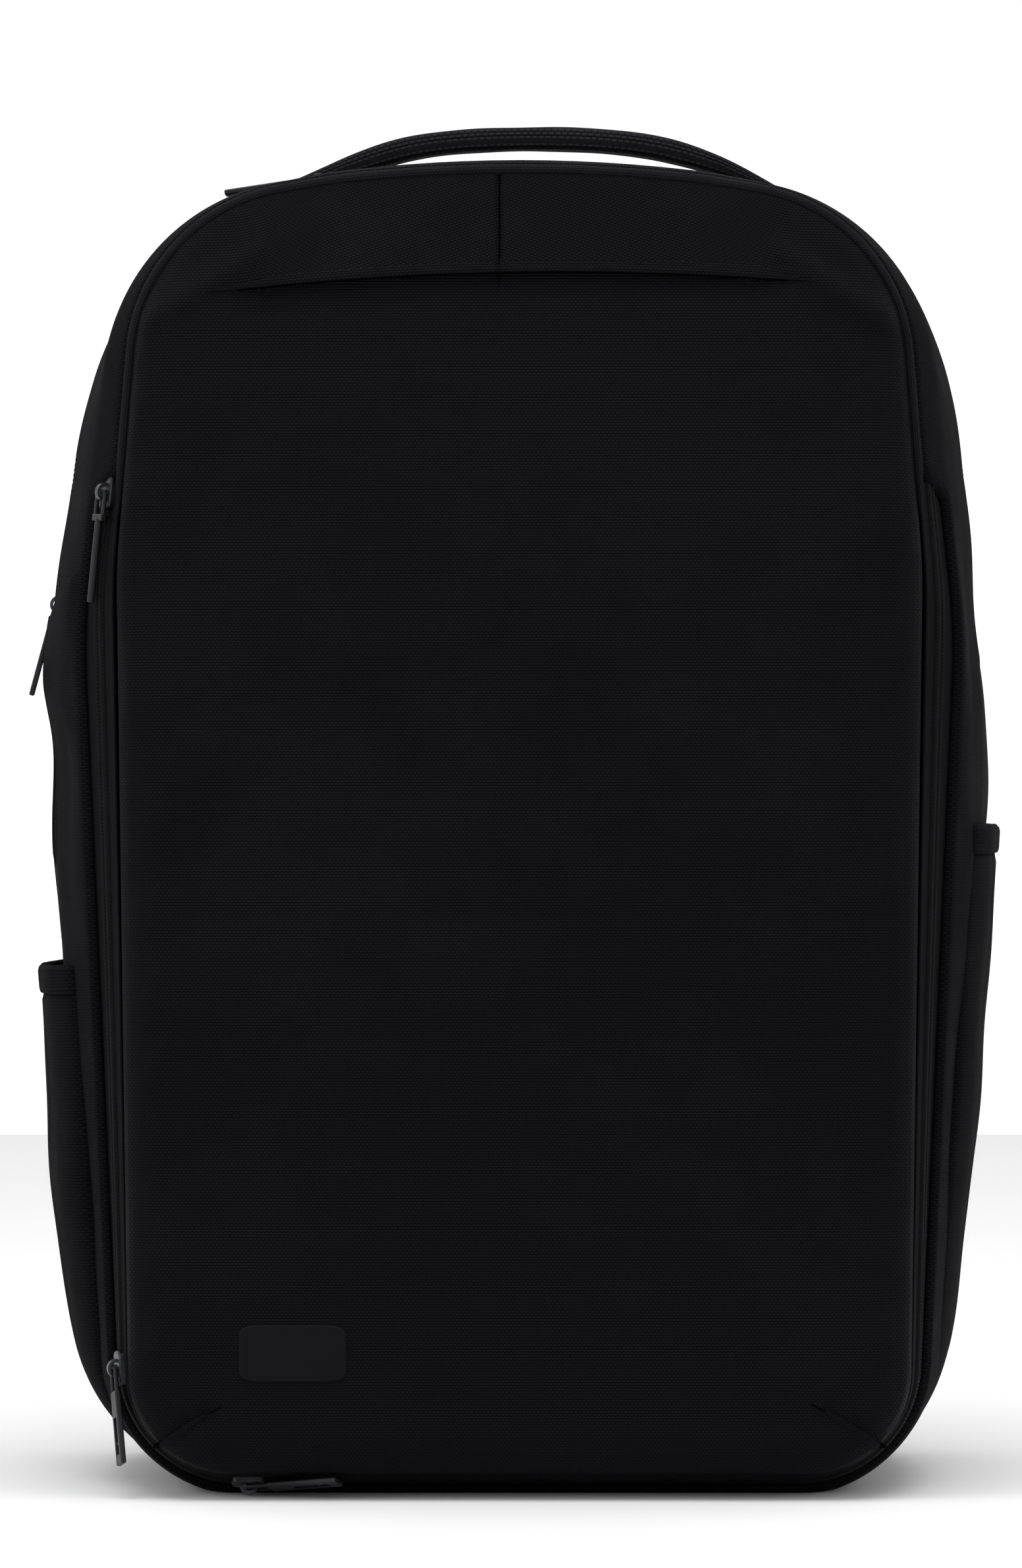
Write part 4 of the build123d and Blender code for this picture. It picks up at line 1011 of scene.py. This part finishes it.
def puff(name, node, material, body, slot, cap=4.0 * MM, channels=False):
    """Padded piece: the CAD pad drawn in a little, swelled as cloth and smoothed."""
    low, high = (np.array(corner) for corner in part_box(node))
    piece = cad_copy(name, node)
    middle, size = (low + high) / 2, np.maximum(high - low, 1e-6)
    draw_in = 2 * 2.5 * MM * np.array([1.0, 0.55, 1.0])
    write_points(piece, middle + (read_points(piece) - middle) * (size - draw_in) / size)
    modify(piece, "even", "REMESH", mode="VOXEL", voxel_size=VOXEL)
    bake(piece)
    swell_cloth(piece, cap)
    modify(piece, "relax", "SMOOTH", iterations=4)
    modify(piece, "fine", "SUBSURF", levels=1, render_levels=1)
    bake(piece)
    if channels:
        sew_channels(piece)
    dress(piece, material)
    place(piece, body, slot, node)
    return piece


def slab_piece(name, node, material, body, slot, round_by=2.0 * MM):
    """Soft flat piece from a CAD outline, its edges rounded and its faces gently uneven."""
    piece = cad_copy(name, node)
    modify(piece, "even", "REMESH", mode="VOXEL", voxel_size=round_by)
    bake(piece)
    co = read_points(piece)
    co[:, 1] += 0.5 * MM * soft_noise(co[:, 0], co[:, 2], 60 * MM, len(name)) * 0.6
    write_points(piece, co)
    modify(piece, "relax", "SMOOTH", iterations=3)
    bake(piece)
    dress(piece, material)
    return place(piece, body, slot, node)


def show_cad(material, *nodes):
    """Gives CAD parts whose shape is right their finished material."""
    for node in nodes:
        dress(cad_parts[node], material, smooth=False)


def back_and_harness():
    slab_piece("back_skin", "back_panel", SHELL_FLAT, "root", "shell_fabric")
    for name in ("back_pad_left", "back_pad_right", "back_pad_lumbar"):
        puff(f"{name}_foam", name, SPACER, "root", "mesh_fabric", channels=True)
    sleeve = slab_piece("sleeve_cloth", "trolley_sleeve", SHELL_FLAT, "root", "shell_fabric", 1.2 * MM)
    low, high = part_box("trolley_sleeve")
    cut_cloth(sleeve, high.z - low.z, "stretched", "back_skin")
    slab_piece("yoke_pad", "harness_yoke", SHELL_FLAT, "root", "shell_fabric")
    slab_piece("divider_pad", "laptop_divider", LINING_FLAT, "root", "lining")
    pocket = slab_piece("flap_pocket_cloth", "flap_pocket", LINING_FLAT, "flap", "lining", 1.0 * MM)
    low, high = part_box("flap_pocket")
    cut_cloth(pocket, high.x - low.x, "laid", "front_panel_skin")
    for name in ("left", "right"):
        harness(name)
    show_cad(SHEET, "frame_sheet", "base_board")
    for name in ("upper", "corner", "bottom", "side", "top"):
        show_cad(SLIDER, f"slider_{name}")
        show_cad(PULL, f"pull_{name}")


def harness(name):
    """One shoulder strap with its rail, chest strap half, ladder lock and adjuster webbing."""
    strap, chest = f"strap_{name}", f"chest_{name}"

    def web(piece, node, body, round_by=0.7 * MM, material=WEBBING_FLAT, slot="webbing"):
        return slab_piece(f"{piece}_{name}", f"{node}_{name}", material, body, slot, round_by)

    pad = puff(f"strap_pad_{name}", f"shoulder_strap_{name}", SHELL_FLAT, strap, "shell_fabric", cap=3.5 * MM)
    cut_cloth(web("rail_web", "strap_rail", strap), RAIL_WIDTH, "stretched", pad)
    cut_cloth(web("chest_web", "chest_webbing", chest), WEBBING_WIDTH, "stretched", f"chest_clip_{name}")
    wing = web("wing_cloth", "strap_wing", "root", 1.0 * MM, SHELL_FLAT, "shell_fabric")
    low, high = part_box(f"strap_wing_{name}")
    cut_cloth(wing, high.z - low.z, "stretched", "back_skin")
    adjuster = web("adjust_web", "strap_webbing", "root")
    cut_cloth(adjuster, WEBBING_WIDTH, "hung", f"ladder_lock_{name}", wing)
    low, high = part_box(f"strap_webbing_{name}")
    bend(adjuster, "root")
    show_cad(PLASTIC, f"ladder_lock_{name}", f"chest_clip_{name}", f"chest_buckle_{name}")


# ---- Stage: floor, light and camera ----
CAMERA_DISTANCE = 2.2
CAMERA_X = -3.0 * MM
CAMERA_Z = 249.9 * MM
FRAME_HEIGHT = 0.5481
SENSOR = 24.0


def backdrop():
    """Pale floor, and the pale wall it curves up into."""
    turn = np.linspace(0, math.pi / 2, 14)
    curve = [(2.2 + 1.6 * math.sin(a), 1.6 - 1.6 * math.cos(a)) for a in turn]
    shapes = (("pale_floor", [(-6.0, 0.0), curve[0]], 0.0), ("pale_wall", curve + [(3.8, 8.0)], 0.35))
    for name, profile, glow in shapes:
        points = np.array([[(x, y, z) for x in (-7.0, 7.0)] for y, z in profile])
        n = Nodes(name)
        grain = n.noise(n.add("ShaderNodeTexCoord").outputs["Object"], 3.0)
        n.link(n.mix(grain, (0.80, 0.80, 0.80), (0.83, 0.83, 0.83)), n.shader.inputs["Base Color"])
        n.set(Roughness=0.9, Specular_IOR_Level=0.1, Emission_Color=(1, 1, 1, 1), Emission_Strength=glow)
        grid_piece(name, points, n.material)


def softbox(name, place_at, aim, size, power):
    light = bpy.data.lights.new(name, "AREA")
    light.shape = "RECTANGLE"
    light.size, light.size_y = size
    light.energy = power
    lamp = link_object(name, light)
    lamp.location = place_at
    lamp.rotation_euler = (Vector(aim) - Vector(place_at)).to_track_quat("-Z", "Y").to_euler()


def stage():
    backdrop()
    world = bpy.data.worlds.new("soft_white")
    world.use_nodes = True
    glow = world.node_tree.nodes["Background"].inputs
    glow["Color"].default_value = (1, 1, 1, 1)
    glow["Strength"].default_value = 0.75
    bpy.context.scene.world = world
    softbox("overhead", (0.0, -0.5, 2.2), (0, 0, 0.2), (2.0, 1.4), 34)
    softbox("side_left", (-1.9, -1.0, 1.1), (0, 0, 0.3), (0.8, 1.6), 12)
    softbox("side_right", (1.9, -1.0, 1.1), (0, 0, 0.3), (0.8, 1.6), 5)
    camera = bpy.data.cameras.new("camera")
    camera.sensor_fit = "VERTICAL"
    camera.sensor_height = SENSOR
    camera.lens = SENSOR * CAMERA_DISTANCE / FRAME_HEIGHT
    camera.clip_start = 0.05
    view = link_object("camera", camera)
    view.location = (CAMERA_X, FRONT_EDGE_Y - CAMERA_DISTANCE, CAMERA_Z)
    view.rotation_euler = (math.pi / 2, 0, 0)
    bpy.context.scene.camera = view
    bpy.context.scene.view_settings.view_transform = "Standard"


front_panel()
yoke_seam()
dart_seams()
badge()
gusset()
front_zipper()
main_zipper()
piping()
back_piping()
bottle_pocket("left", -1)
bottle_pocket("right", 1)
top_handle()
back_and_harness()
stage()
